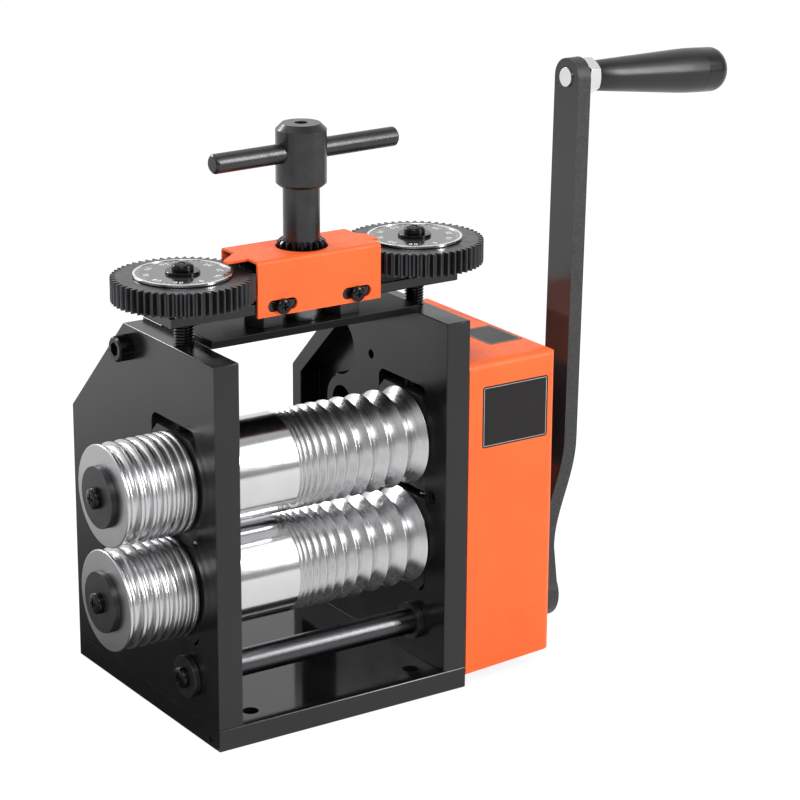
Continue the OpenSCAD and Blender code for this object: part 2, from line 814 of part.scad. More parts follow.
// Side roller with half round grooves, the widest at its outer end
module side_roller(z) {
    count = len(round_groove_shares);
    widths = round_groove_shares * round_groove_w;
    land = (side_roll_len - [for (w = widths) 1] * widths) / (count + 1);
    starts = [for (i = 0, x = -side_end + land; i < count; x = x + widths[i] + land, i = i + 1) x];
    difference() {
        turned_x(roll_y, z) difference() {
            translate([0, -side_end]) square([roll_r, side_roll_len]);
            for (i = [0 : count - 1])
                translate([roll_r, starts[i] + widths[i] / 2]) circle(r = widths[i] / 2);
        }
        translate([-side_end - overrun, roll_y, z]) rotate([0, 90, 0])
            linear_extrude(side_roll_len + 2 * overrun) flat_disc(stub_r, fit_gap);
    }
}

module lower_side_roller() {
    color("#cfd2d6") side_roller(lower_z);
}

module upper_side_roller() {
    color("#cfd2d6") side_roller(upper_z);
}

// Washers on both ends of a roll whose right stub ends at the place right
module end_washers(z, right) {
    difference() {
        union() {
            rod_x(-side_end - roll_washer_t, -side_end, roll_y, z, roll_washer_r);
            rod_x(right, right + roll_washer_t, roll_y, z, gear_washer_r);
        }
        rod_x(-side_end - roll_washer_t - overrun, right + roll_washer_t + overrun, roll_y, z,
            roll_screw_r + fit_gap);
    }
}

module lower_end_washers() {
    color("#232427") end_washers(lower_z, lower_end_x);
}

module upper_end_washers() {
    color("#232427") end_washers(upper_z, upper_end_x);
}

module end_screws(z, right) {
    translate([-side_end - roll_washer_t, roll_y, z]) rotate([0, -90, 0])
        pan_screw(roll_screw_r, pan_head_r, pan_head_h, roll_washer_t + roll_screw_grip - overrun);
    translate([right + roll_washer_t, roll_y, z]) rotate([0, 90, 0])
        pan_screw(roll_screw_r, pan_head_r, pan_head_h, roll_washer_t + roll_screw_grip - overrun);
}

module lower_end_screws() {
    color("#1c1d1f") end_screws(lower_z, lower_end_x);
}

module upper_end_screws() {
    color("#1c1d1f") end_screws(upper_z, upper_end_x);
}

module reduction_gear() {
    m = drive_module;
    pitch_r = m * reduction_teeth / 2;
    color("#3a3b3e") difference() {
        union() {
            translate([0, roll_y, lower_z]) extrude_x(reduction_x, lower_end_x)
                polygon(gear_outline(reduction_teeth, pitch_r, pitch_r - dedendum_share * m,
                    pitch_r + drive_addendum_share * m, PI * m / 2 - drive_backlash, drive_flank_steps,
                    reduction_turn));
            rod_x(reduction_x - gear_hub_len, reduction_x, roll_y, lower_z, gear_hub_r);
        }
        translate([reduction_x - gear_hub_len - overrun, roll_y, lower_z]) rotate([0, 90, 0])
            linear_extrude(drive_face + gear_hub_len + 2 * overrun) flat_disc(stub_r, fit_gap);
    }
}

// Long toothed gear that couples the rolls and stays in mesh as they part
module roll_gear(z, turn) {
    pitch_r = roll_distance / 2;
    thick = PI * pitch_r / roll_gear_teeth - roll_gear_backlash;
    difference() {
        translate([0, roll_y, z]) extrude_x(gear_x, gear_x + roll_gear_face)
            polygon(gear_outline(roll_gear_teeth, pitch_r, pitch_r - roll_gear_dedendum,
                roll_gear_tip_r, thick, drive_flank_steps, turn));
        translate([gear_x - overrun, roll_y, z]) rotate([0, 90, 0])
            linear_extrude(roll_gear_face + 2 * overrun) flat_disc(stub_r, fit_gap);
    }
}

module lower_roll_gear() {
    color("#3a3b3e") roll_gear(lower_z, 0);
}

module upper_roll_gear() {
    color("#3a3b3e") roll_gear(upper_z, upper_gear_turn);
}

module shaft_bushes() {
    color("#46474b") both_sides() difference() {
        union() {
            rod_x(inner_x - bush_flange_t, inner_x, shaft_y, shaft_z, bush_flange_r);
            rod_x(inner_x - bush_flange_t / 2, outer_x, shaft_y, shaft_z, shaft_bush_r);
        }
        rod_x(inner_x - bush_flange_t - overrun, outer_x + overrun, shaft_y, shaft_z, shaft_r + run_gap);
    }
}

module drive_shaft() {
    color("#3f4043") difference() {
        union() {
            rod_x(shaft_left_x, gear_x, shaft_y, shaft_z, shaft_r);
            translate([gear_x - overrun, shaft_y, shaft_z]) rotate([0, 90, 0])
                linear_extrude(hub_x + hub_len - gear_x + overrun) flat_disc(shaft_r, 0);
        }
        rod_x(shaft_left_x - overrun, shaft_left_x + roll_screw_grip, shaft_y, shaft_z,
            roll_screw_r + fit_gap);
    }
}

module drive_pinion() {
    m = drive_module;
    pitch_r = m * drive_teeth / 2;
    color("#3a3b3e") difference() {
        union() {
            translate([0, shaft_y, shaft_z]) extrude_x(reduction_x, lower_end_x)
                polygon(gear_outline(drive_teeth, pitch_r, pitch_r - dedendum_share * m,
                    pitch_r + drive_addendum_share * m, PI * m / 2 - drive_backlash, drive_flank_steps, 0));
            rod_x(lower_end_x, lower_end_x + pinion_hub_len, shaft_y, shaft_z, pinion_hub_r);
        }
        translate([reduction_x - overrun, shaft_y, shaft_z]) rotate([0, 90, 0])
            linear_extrude(drive_face + pinion_hub_len + 2 * overrun) flat_disc(shaft_r, fit_gap);
    }
}

module shaft_end_washer() {
    color("#232427") difference() {
        rod_x(shaft_left_x - shaft_washer_t, shaft_left_x, shaft_y, shaft_z, shaft_washer_r);
        rod_x(shaft_left_x - shaft_washer_t - overrun, shaft_left_x + overrun, shaft_y, shaft_z,
            roll_screw_r + fit_gap);
    }
}

module shaft_end_screw() {
    color("#1c1d1f") translate([shaft_left_x - shaft_washer_t, shaft_y, shaft_z]) rotate([0, -90, 0])
        pan_screw(roll_screw_r, pan_head_r, pan_head_h, shaft_washer_t + roll_screw_grip - overrun);
}

// Middle of the arm's thickness at share t of its step, and the slope of that line there
function step_x(t) = arm_x + arm_t / 2 + arm_step * (1 - cos(180 * t)) / 2;
function step_slope(t) = arm_step * PI / 2 * sin(180 * t) / step_len;

// Edge of the arm's side view: side is -1 for the inner face and 1 for the outer one
function arm_edge(side) = concat(
    [[step_x(0) + side * arm_t / 2, shaft_z - hub_r - overrun]],
    [for (k = [0 : step_points])
        let (t = k / step_points, slope = step_slope(t), length = sqrt(1 + slope * slope))
        [step_x(t) + side * arm_t / 2 / length,
            shaft_z + step_start + step_len * t - side * arm_t / 2 * slope / length]],
    [[step_x(1) + side * arm_t / 2 + tan(arm_lean) * (grip_z + arm_w - arm_step_z), grip_z + arm_w]]);

function reversed(list) = [for (i = [len(list) - 1 : -1 : 0]) list[i]];

module crank_arm() {
    color("#2d2f31") difference() {
        union() {
            intersection() {
                translate([0, shaft_y + hub_r + overrun, 0]) rotate([90, 0, 0])
                    linear_extrude(2 * (hub_r + overrun))
                        polygon(concat(arm_edge(-1), reversed(arm_edge(1))));
                extrude_x(arm_x - overrun, grip_mid_x + arm_t) translate([shaft_y, shaft_z]) arm_outline();
            }
            rod_x(hub_x, hub_x + hub_len, shaft_y, shaft_z, hub_r);
        }
        translate([hub_x - overrun, shaft_y, shaft_z]) rotate([0, 90, 0])
            linear_extrude(hub_len + 2 * overrun) flat_disc(shaft_r, fit_gap);
        grip_frame() rod_x(-arm_t, arm_t, 0, 0, grip_bolt_r + fit_gap);
        translate([hub_x + hub_len / 2, shaft_y, shaft_z - hub_r - overrun])
            cylinder(r = lock_screw_r + fit_gap, h = hub_r);
    }
}

// Front view of the arm about the shaft: its edges flare out to meet the hub
module arm_outline() {
    disc_r = hub_r - arm_relief;
    reach = sqrt(arm_w * arm_w / 4 + arm_flare_z * arm_flare_z);
    meet = atan2(arm_flare_z, arm_w / 2) - acos(disc_r / reach);
    translate([-arm_w / 2, 0]) square([arm_w, crank_r]);
    translate([0, crank_r]) circle(r = arm_w / 2);
    circle(r = disc_r);
    polygon([[-arm_w / 2, arm_flare_z], [-disc_r * cos(meet), disc_r * sin(meet)], [0, 0],
        [disc_r * cos(meet), disc_r * sin(meet)], [arm_w / 2, arm_flare_z]]);
}

// Frame of the grip: its origin lies on its axis in the middle of the arm, and its X runs along that axis
module grip_frame() {
    translate([grip_mid_x, shaft_y, grip_z]) rotate([0, grip_lean, 0]) children();
}

module crank_lock_screw() {
    foot = shaft_z - shaft_r + flat_depth - lock_screw_len - fit_gap;
    color("#1c1d1f") translate([hub_x + hub_len / 2, shaft_y, foot]) difference() {
        cylinder(r = lock_screw_r, h = lock_screw_len);
        translate([0, 0, -overrun]) cylinder(r = set_socket_r_share * lock_screw_r,
            h = set_socket_depth_share * lock_screw_len + overrun, $fn = 6);
    }
}

module grip_spindle() {
    color("#c3c6ca") grip_frame() {
        rod_x(-arm_t / 2 - grip_bolt_proud, nut_start + nut_h, 0, 0, grip_bolt_r);
        rod_x(nut_start, grip_start + grip_taper_len, 0, 0, grip_pin_r);
    }
}

module grip_nut() {
    color("#c3c6ca") grip_frame() difference() {
        translate([nut_start, 0, 0]) rotate([0, 90, 0]) cylinder(r = nut_af / sqrt(3), h = nut_h, $fn = 6);
        rod_x(nut_start - overrun, nut_start + nut_h + overrun, 0, 0, grip_bolt_r + fit_gap);
    }
}

// Grip that swells from the nut, runs straight and ends in a low dome
module crank_grip() {
    end = grip_start + grip_len;
    color("#141416") grip_frame() difference() {
        turned_x(0, 0) polygon(concat(
            [[0, grip_start], [grip_root_r - grip_round, grip_start], [grip_root_r, grip_start + grip_round],
                [grip_r, grip_start + grip_taper_len]],
            [for (k = [0 : grip_end_steps]) let (a = 90 * k / grip_end_steps)
                [grip_r - grip_end_r * (1 - cos(a)), end - grip_end_len * (1 - sin(a))]],
            [[0, end]]));
        rod_x(grip_start - overrun, grip_start + grip_taper_len + run_gap, 0, 0, grip_pin_r + run_gap);
    }
}

// Places of the posts on the right side plate: in front of the gears, low at the rear and above the gears
module cover_post_places() {
    rear = rear_y - cover_rear_inset - post_inset;
    for (p = [[front_y + post_inset, base_t + front_post_z], [rear, base_t + post_inset],
        [front_y + upper_post_y, upper_post_z]]) translate([0, p[0], p[1]]) children();
}

module cover_posts() {
    color("#3a3b3e") cover_post_places() difference() {
        union() {
            rod_x(outer_x, cover_x - gear_cover_t, 0, 0, post_r);
            rod_x(outer_x - post_stub_len + overrun, outer_x + overrun, 0, 0, post_stub_r);
        }
        rod_x(cover_x - cover_screw_grip - overrun, cover_x, 0, 0, cover_screw_r + fit_gap);
    }
}

module gear_cover_screws() {
    color("#1c1d1f") cover_post_places() translate([cover_x, 0, 0]) rotate([0, 90, 0])
        pan_screw(cover_screw_r, cover_screw_head_r, cover_screw_head_h, cover_screw_grip);
}

// Block of the cover's outline, set in by the distance inset, with its bends at the top, front and side
module cover_block(inset) {
    r = max(gear_cover_bend_r - inset, 0);
    x1 = cover_x - inset;
    y0 = front_y + inset;
    y1 = rear_y - cover_rear_inset - inset;
    z1 = cover_top - inset;
    slope_sum = rear_y + plate_top - slope_drop - inset * sqrt(2);
    cut = inset > 0 ? overrun : 0;
    below = cover_foot - cut;
    start = outer_x - cut;
    intersection() {
        extrude_x(start, x1) {
            polygon([[y0 + r, below], [y1, below], [y1, slope_sum - y1], [slope_sum - z1, z1],
                [y0 + r, z1]]);
            translate([y0, below]) square([2 * r, z1 - r - below]);
            translate([y0 + r, z1 - r]) circle(r = r);
        }
        translate([0, 0, below]) linear_extrude(z1 - below) {
            translate([start, y0 + r]) square([x1 - start, y1 - y0 - r]);
            translate([start, y0]) square([x1 - r - start, 2 * r]);
            translate([x1 - r, y0 + r]) circle(r = r);
        }
        translate([0, y1, 0]) rotate([90, 0, 0]) linear_extrude(y1 - y0) {
            polygon([[start, below], [outer_x, below], [cover_x, below + gear_cover_rise], [cover_x, z1 - r],
                [x1 - r, z1 - r], [x1 - r, z1], [start, z1]]);
            translate([x1 - r, z1 - r]) circle(r = r);
        }
    }
}

module gear_cover() {
    color("#ff6f3c") difference() {
        cover_block(0);
        cover_block(gear_cover_t);
        rod_x(cover_x - gear_cover_bend_r, cover_x + overrun, shaft_y, shaft_z, shaft_r + cover_hole_gap);
        cover_post_places()
            rod_x(cover_x - gear_cover_bend_r, cover_x + overrun, 0, 0, cover_screw_r + fit_gap);
    }
}

module idler_posts() {
    color("#2d2f31") both_sides() translate([idler_x, roll_y, 0]) {
        translate([0, 0, cross_top]) cylinder(r = post_af / sqrt(3), h = post_h, $fn = 6);
        translate([0, 0, plate_top]) cylinder(r = post_pin_r, h = cross_t + overrun);
        translate([0, 0, bridge_z - overrun])
            cylinder(r = post_pin_r, h = pinion_z + idler_h - post_pin_end_gap - bridge_z + overrun);
    }
}

module spindle_bush() {
    color("#c3c6ca") difference() {
        translate([0, roll_y, cross_top]) cylinder(r = bush_r, h = post_h);
        translate([0, roll_y, cross_top - overrun])
            cylinder(r = spindle_r + run_gap, h = post_h + 2 * overrun);
        translate([0, roll_y, bridge_z - clip_pocket_h])
            cylinder(r = clip_pocket_r, h = clip_pocket_h + overrun);
    }
}

module bridge_plate() {
    color("#1d1e21") difference() {
        translate([-outer_x - bridge_reach, bridge_y, bridge_z])
            cube([2 * (outer_x + bridge_reach), bridge_d, bridge_t]);
        translate([0, roll_y, bridge_z - overrun])
            cylinder(r = spindle_r + run_gap, h = bridge_t + 2 * overrun);
        both_sides() {
            translate([idler_x, roll_y, bridge_z - overrun])
                cylinder(r = post_pin_r + fit_gap, h = bridge_t + 2 * overrun);
            translate([mid_x, roll_y, bridge_z - overrun])
                cylinder(r = screw_r + screw_bridge_gap, h = bridge_t + 2 * overrun);
        }
        slot_screw_places() translate([0, 0, -slot_screw_grip - overrun])
            cylinder(r = slot_screw_r + fit_gap, h = slot_screw_grip + 2 * overrun);
    }
}

// Places of the top cover's screws on its front and rear faces, each with +Z pointing outward
module slot_screw_places() {
    mid_z = bridge_z + bridge_t / 2;
    both_sides() {
        translate([slot_x, bridge_y - top_cover_t, mid_z]) rotate([90, 0, 0]) children();
        translate([slot_x, bridge_y + bridge_d + top_cover_t, mid_z]) rotate([-90, 0, 0]) children();
    }
}

module top_cover_screws() {
    color("#1c1d1f") slot_screw_places()
        pan_screw(slot_screw_r, slot_screw_head_r, slot_screw_head_h, slot_screw_grip);
}

// Bent sheet profile of the top cover, drawn in Y and Z
module top_cover_profile(inset) {
    r = cover_bend_r - inset;
    y0 = bridge_y - top_cover_t + inset;
    w = bridge_d + 2 * (top_cover_t - inset);
    z0 = bridge_z - cover_skirt - (inset > 0 ? overrun : 0);
    z1 = bridge_top + top_cover_room + top_cover_t - inset;
    translate([y0, z0]) square([w, z1 - r - z0]);
    translate([y0 + r, z0]) square([w - 2 * r, z1 - z0]);
    for (y = [y0 + r, y0 + w - r]) translate([y, z1 - r]) circle(r = r);
}

module top_cover() {
    tip = top_cover_l / 2 + pointer_reach;
    front = roll_y - pointer_front;
    color("#ff6f3c") difference() {
        union() {
            extrude_x(-top_cover_l / 2, top_cover_l / 2) difference() {
                top_cover_profile(0);
                top_cover_profile(top_cover_t);
            }
            both_sides() translate([0, 0, bridge_top + top_cover_room]) linear_extrude(top_cover_t)
                polygon([[0, front], [tip, front], [tip, front + pointer_tip_w],
                    [top_cover_l / 2, roll_y + pointer_back], [0, roll_y + pointer_back]]);
        }
        translate([0, roll_y, bridge_top])
            cylinder(r = idler_tip_r + pinion_hole_gap, h = 2 * top_cover_room);
        both_sides() translate([slot_x - slot_l / 2, bridge_y + bridge_d + 2 * top_cover_t,
            bridge_z + bridge_t / 2 + slot_rise - slot_h / 2]) rotate([90, 0, 0])
            linear_extrude(bridge_d + 4 * top_cover_t) {
                translate([slot_h / 2, 0]) square([slot_l - slot_h, slot_h]);
                for (x = [slot_h / 2, slot_l - slot_h / 2])
                    translate([x, slot_h / 2]) circle(r = slot_h / 2);
            }
    }
}

// Pressure screw as it stands on the right: a pin in the upper block, the screw and a stub for the dial gear
module pressure_screw() {
    foot = upper_z + block_head;
    translate([mid_x, roll_y, 0]) difference() {
        union() {
            translate([0, 0, foot - screw_pin_len])
                cylinder(r = screw_pin_r, h = screw_pin_len + 2 * overrun);
            translate([0, 0, foot + screw_neck_gap])
                cylinder(r = screw_r, h = dial_z - foot - screw_neck_gap);
            translate([0, 0, dial_z - overrun])
                linear_extrude(dial_gear_h + overrun) flat_disc(screw_pin_r, 0);
        }
        translate([0, 0, dial_top - dial_screw_grip])
            cylinder(r = dial_screw_r + fit_gap, h = dial_screw_grip + overrun);
    }
}

module left_pressure_screw() {
    color("#4a4b4f") translate([-2 * mid_x, 0, 0]) pressure_screw();
}

module right_pressure_screw() {
    color("#4a4b4f") pressure_screw();
}

module dial_gear(x, turn) {
    m = dial_module;
    pitch_r = m * dial_teeth / 2;
    translate([x, roll_y, dial_z]) difference() {
        linear_extrude(dial_gear_h) polygon(gear_outline(dial_teeth, pitch_r, pitch_r - dedendum_share * m,
            pitch_r + m, PI * m / 2 - dial_backlash, dial_flank_steps, turn));
        translate([0, 0, -overrun])
            linear_extrude(dial_gear_h + 2 * overrun) flat_disc(screw_pin_r, fit_gap);
    }
}

module left_dial_gear() {
    color("#2a2b2e") dial_gear(-mid_x, left_dial_turn);
}

module right_dial_gear() {
    color("#2a2b2e") dial_gear(mid_x, right_dial_turn);
}

module dial_plate(x) {
    translate([x, roll_y, dial_top]) difference() {
        cylinder(r = dial_plate_r, h = dial_plate_t);
        translate([0, 0, -overrun]) cylinder(r = dial_screw_r + run_gap, h = dial_plate_t + 2 * overrun);
        translate([0, 0, dial_plate_t - dial_rim_h]) cylinder(r = dial_plate_r - dial_rim_w, h = overrun);
    }
}

module left_dial_plate() {
    color("#55565a") dial_plate(-mid_x);
}

module right_dial_plate() {
    color("#55565a") dial_plate(mid_x);
}

module dial_screw(x) {
    seat = dial_top + dial_plate_t - dial_rim_h;
    translate([x, roll_y, seat]) difference() {
        cylinder(r = dial_washer_r, h = dial_washer_t);
        translate([0, 0, -overrun]) cylinder(r = dial_screw_r + run_gap, h = dial_washer_t + 2 * overrun);
    }
    translate([x, roll_y, seat + dial_washer_t]) pan_screw(dial_screw_r, pan_head_r, pan_head_h,
        dial_washer_t + dial_plate_t - dial_rim_h + dial_screw_grip - overrun);
}

module left_dial_screw() {
    color("#1c1d1f") dial_screw(-mid_x);
}

module right_dial_screw() {
    color("#1c1d1f") dial_screw(mid_x);
}

// Pinion outline of the handle and of the idlers
module pinion_outline(turn) {
    m = dial_module;
    pitch_r = m * idler_teeth / 2;
    polygon(gear_outline(idler_teeth, pitch_r, pitch_r - dedendum_share * m, pitch_r + m,
        PI * m / 2 - dial_backlash, dial_flank_steps, turn));
}

module idler_pinion(x, turn) {
    translate([x, roll_y, pinion_z]) difference() {
        linear_extrude(idler_h) pinion_outline(turn);
        translate([0, 0, -overrun]) cylinder(r = post_pin_r + run_gap, h = idler_h + 2 * overrun);
    }
}

module left_idler_pinion() {
    color("#2a2b2e") idler_pinion(-idler_x, left_idler_turn);
}

module right_idler_pinion() {
    color("#2a2b2e") idler_pinion(idler_x, right_idler_turn);
}

module handle_spindle() {
    clip_z = bridge_z - clip_gap - clip_t;
    foot = plate_top + spindle_end_gap;
    color("#26282b") translate([0, roll_y, 0]) difference() {
        union() {
            translate([0, 0, foot]) cylinder(r = spindle_r, h = pinion_z - foot + overrun);
            translate([0, 0, pinion_z]) linear_extrude(handle_pinion_h) pinion_outline(0);
            translate([0, 0, stem_z - overrun]) cylinder(r = stem_r, h = stem_len + 2 * overrun);
            rotate_extrude() polygon([[0, head_z], [head_r - head_chamfer / 2, head_z],
                [head_r, head_z + head_chamfer / 2], [head_r, handle_top - head_chamfer],
                [head_r - head_chamfer, handle_top], [0, handle_top]]);
        }
        difference() {
            translate([0, 0, clip_z]) cylinder(r = spindle_r + overrun, h = clip_t);
            translate([0, 0, clip_z - overrun]) cylinder(r = clip_groove_r, h = clip_t + 2 * overrun);
        }
        translate([0, 0, bar_z]) rotate([0, 0, bar_turn]) rotate([0, 90, 0]) translate([0, 0, -2 * head_r])
            cylinder(r = bar_r + fit_gap, h = 4 * head_r);
        translate([0, 0, bar_z]) cylinder(r = top_hole_r, h = handle_top - bar_z + overrun);
    }
}

module spindle_clip() {
    color("#6a6c70") translate([0, roll_y, bridge_z - clip_gap - clip_t]) difference() {
        translate([0, 0, fit_gap]) cylinder(r = clip_r, h = clip_t - 2 * fit_gap);
        translate([0, 0, -overrun]) cylinder(r = clip_groove_r + fit_gap, h = clip_t + 2 * overrun);
        translate([-clip_groove_r / 2, -clip_r - overrun, -overrun])
            cube([clip_groove_r, clip_r + overrun, clip_t + 2 * overrun]);
    }
}

module handle_bar() {
    left = bar_shift - bar_len / 2;
    right = bar_shift + bar_len / 2;
    color("#26282b") translate([0, roll_y, bar_z]) rotate([0, 0, bar_turn]) turned_x(0, 0)
        polygon([[0, left], [bar_r - bar_chamfer, left], [bar_r, left + bar_chamfer],
            [bar_r, right - bar_chamfer], [bar_r - bar_chamfer, right], [0, right]]);
}

module handle_lock_screw() {
    foot = bar_z + bar_r + fit_gap;
    color("#1c1d1f") translate([0, roll_y, 0]) difference() {
        translate([0, 0, foot]) cylinder(r = top_hole_r - fit_gap, h = handle_top - lock_sink - foot);
        translate([0, 0, (foot + handle_top - lock_sink) / 2])
            cylinder(r = set_socket_r_share * top_hole_r, h = head_len, $fn = 6);
    }
}

base_plate();
left_side_plate();
right_side_plate();
base_screws();
tie_bar();
tie_bar_screws();
cross_plate();
cross_plate_screws();
left_lower_block();
right_lower_block();
lower_bushes();
shaft_bushes();
plate_set_screw();
left_springs();
right_springs();
idler_posts();
spindle_bush();
bridge_plate();
top_cover();
top_cover_screws();
gear_cover();
cover_posts();
gear_cover_screws();
drive_shaft();
drive_pinion();
shaft_end_washer();
shaft_end_screw();
crank_arm();
crank_lock_screw();
grip_spindle();
grip_nut();
crank_grip();
lower_roll();
lower_side_roller();
lower_end_washers();
lower_end_screws();
reduction_gear();
lower_roll_gear();
left_upper_block();
right_upper_block();
upper_bushes();
upper_roll();
upper_side_roller();
upper_end_washers();
upper_end_screws();
upper_roll_gear();
left_pressure_screw();
left_dial_gear();
left_dial_plate();
left_dial_screw();
right_pressure_screw();
right_dial_gear();
right_dial_plate();
right_dial_screw();
handle_spindle();
spindle_clip();
handle_bar();
handle_lock_screw();
left_idler_pinion();
right_idler_pinion();
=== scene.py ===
import json
import math

import bpy
from mathutils import Matrix, Vector


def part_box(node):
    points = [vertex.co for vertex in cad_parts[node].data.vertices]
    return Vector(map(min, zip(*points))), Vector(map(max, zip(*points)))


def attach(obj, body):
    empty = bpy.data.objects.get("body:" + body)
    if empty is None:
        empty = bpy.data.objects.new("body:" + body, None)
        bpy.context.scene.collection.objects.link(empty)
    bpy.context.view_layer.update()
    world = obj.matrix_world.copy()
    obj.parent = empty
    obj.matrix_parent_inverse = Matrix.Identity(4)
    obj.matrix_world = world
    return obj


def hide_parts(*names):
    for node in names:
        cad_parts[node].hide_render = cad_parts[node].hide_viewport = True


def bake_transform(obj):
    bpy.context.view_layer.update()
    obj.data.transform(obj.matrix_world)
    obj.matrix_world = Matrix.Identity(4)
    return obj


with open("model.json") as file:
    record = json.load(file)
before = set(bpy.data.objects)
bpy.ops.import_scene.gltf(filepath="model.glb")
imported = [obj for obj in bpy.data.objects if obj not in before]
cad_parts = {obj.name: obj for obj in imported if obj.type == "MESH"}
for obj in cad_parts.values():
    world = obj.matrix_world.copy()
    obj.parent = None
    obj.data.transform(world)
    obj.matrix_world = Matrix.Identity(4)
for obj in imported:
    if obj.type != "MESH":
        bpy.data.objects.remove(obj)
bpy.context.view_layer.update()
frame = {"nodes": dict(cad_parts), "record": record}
bpy.ops.object.select_all(action="DESELECT")

# The mill is measured in millimetres, the room round it in metres
MM = 0.001

# Side plates and covers
OUTER_X, MID_X, FRONT_Y = 75, 68, -75
COVER_X, COVER_TOP = 130.7, 178
COVER_HALF, RIGHT_POINTER = 36, 3.9

# Rolls: each with the height of its axis and its right end
ROLL_Y = -34
ROLLS = {"lower": (76.5, 112), "upper": (131.5, 95)}
ROLL_R, JOURNAL_R, STUB_R = 26, 11, 9
BARREL_X, PLAIN_LEN = 60.7, 42.7
JOURNAL_END = OUTER_X + 2
SIDE_START, SIDE_END = -76, -115
END_WASHER = 3.5

# Grooves: their widths as shares of the widest, and the land between two square wire grooves
V_SHARES = [0.11, 0.17, 0.22, 0.28, 0.33, 0.39, 0.44, 0.56, 0.67, 0.78, 0.89, 1]
V_LAND = 0.35
ROUND_SHARES = [1, 0.83, 0.67, 0.58, 0.5, 0.42, 0.33]
ROUND_W = 6

# Pressure screws, with the depth of their thread as a share of its pitch, and dials
SCREW_FOOT, SCREW_R, PIN_R, PIN_LEN = 157.5, 5, 4, 6
DIAL_X, DIAL_Z, DIAL_TOP, DIAL_FACE = MID_X, 224.7, 236.7, 238.0
THREAD_PITCH, THREAD_DEPTH, THREAD_FOOT, THREAD_TOP = 1.5, 0.61, SCREW_FOOT + 0.12, DIAL_Z - 0.1
DIAL_R, RIM_W, DIAL_BORE_R = 24.5, 1.25, 2.05
FIXING_WASHER = 1.4

# Handle, crank shaft and grip, whose places are measured outward along its leaning axis
PINION_TOP, PINION_R = 245.7, 12.48
SHAFT_Y, SHAFT_Z, SHAFT_LEFT = -47, 31.984, -78.8
GRIP_X, GRIP_Z, GRIP_LEAN = 157.54, 312.984, math.radians(3.4)
GRIP_START, GRIP_TAPER, GRIP_SEAM, GRIP_END = 12.6, 74.6, 82.6, 99.1
GRIP_R, GRIP_BORE_R = 11.9, 4.05
NUT_START, NUT_END, NUT_R, NUT_CHAMFER = 4.6, 12.2, 11, 1.6

# Places of the screws
COVER_SCREWS = ((-65.5, 50), (64.5, 21), (-4.5, 168))
SLOT_X, SLOT_FRONT_Y, SLOT_REAR_Y, SLOT_Z = 21.7, -51.4, -16.1, 218.15
BASE_SCREW_YS, BASE_SEAT_Z = (-63, 0, 53), 6
TIE_Y, TIE_Z = 11, 190
CROSS_SCREW_X, CROSS_SEAT_Z = 39, 203.5

# Angles in degrees: an edge sharper than SHARP stays sharp, faces within FLAT are one face
SHARP, FLAT = 32, 0.6

# Points nearer than this are one point
WELD, CAD_WELD, PRINT_WELD = 0.002, 0.001, 0.0005

NODE_SLOT = {s["node"]: s["material_slot"] for s in frame["record"]["subparts"]}
NODE_BODY = {n: b for b, nodes in frame["record"]["behaviour"]["bodies"].items() for n in nodes}


# Helpers for modelling by hand

def at(x, y, z):
    """A place in metres from millimetres."""
    return Vector((x, y, z)) * MM


def take(*pieces):
    """Leaves only these pieces selected, the first of them active."""
    bpy.ops.object.select_all(action="DESELECT")
    for piece in pieces:
        piece.select_set(True)
    bpy.context.view_layer.objects.active = pieces[0]


def edit(piece, kind="FACE", test=None):
    """Opens a piece for editing with the elements that pass the test selected, or all of them."""
    take(piece)
    bpy.ops.object.mode_set(mode="EDIT")
    bpy.ops.mesh.select_mode(type=kind)
    bpy.ops.mesh.select_all(action="SELECT" if test is None else "DESELECT")
    if test is not None:
        bpy.ops.object.mode_set(mode="OBJECT")
        mesh = piece.data
        for part in {"FACE": mesh.polygons, "EDGE": mesh.edges, "VERT": mesh.vertices}[kind]:
            part.select = test(part)
        bpy.ops.object.mode_set(mode="EDIT")


def close():
    """Ends the editing of a piece."""
    bpy.ops.object.mode_set(mode="OBJECT")


def weld(distance):
    """Merges the near points of the piece being edited and turns its faces outwards."""
    bpy.ops.mesh.select_all(action="SELECT")
    bpy.ops.mesh.remove_doubles(threshold=distance * MM)
    bpy.ops.mesh.normals_make_consistent(inside=False)


def apply_modifier(piece, kind, **settings):
    """Adds a modifier with its settings and makes it part of the mesh."""
    take(piece)
    modifier = piece.modifiers.new(kind.lower(), kind)
    for key, value in settings.items():
        setattr(modifier, key, value)
    bpy.ops.object.modifier_apply(modifier=modifier.name)


def ease(piece, width, segments=2, angle=SHARP):
    """Rounds the sharp edges of a piece by a width in millimetres."""
    apply_modifier(piece, "BEVEL", width=width * MM, segments=segments, limit_method="ANGLE",
                   angle_limit=math.radians(angle), use_clamp_overlap=True)


def ease_long(piece, width, shortest=8, angle=40):
    """Rounds only the sharp edges of a piece that are over a length in millimetres."""
    mesh = piece.data
    beside = {}
    for face in mesh.polygons:
        for key in face.edge_keys:
            beside.setdefault(key, []).append(face.normal.copy())

    def long_and_sharp(edge):
        first, second = [mesh.vertices[i].co for i in edge.vertices]
        normals = beside.get(edge.key, ())
        return ((first - second).length > shortest * MM and len(normals) == 2
                and normals[0].angle(normals[1]) > math.radians(angle))

    edit(piece, "EDGE", long_and_sharp)
    bpy.ops.mesh.bevel(offset=width * MM, segments=2)
    close()


def shade(piece, angle=SHARP, flat_faces=True):
    """Smooth shading that keeps sharp edges, and flat faces flat."""
    take(piece)
    bpy.ops.object.shade_smooth_by_angle(angle=math.radians(angle))
    if flat_faces:
        apply_modifier(piece, "WEIGHTED_NORMAL", keep_sharp=True, weight=100)


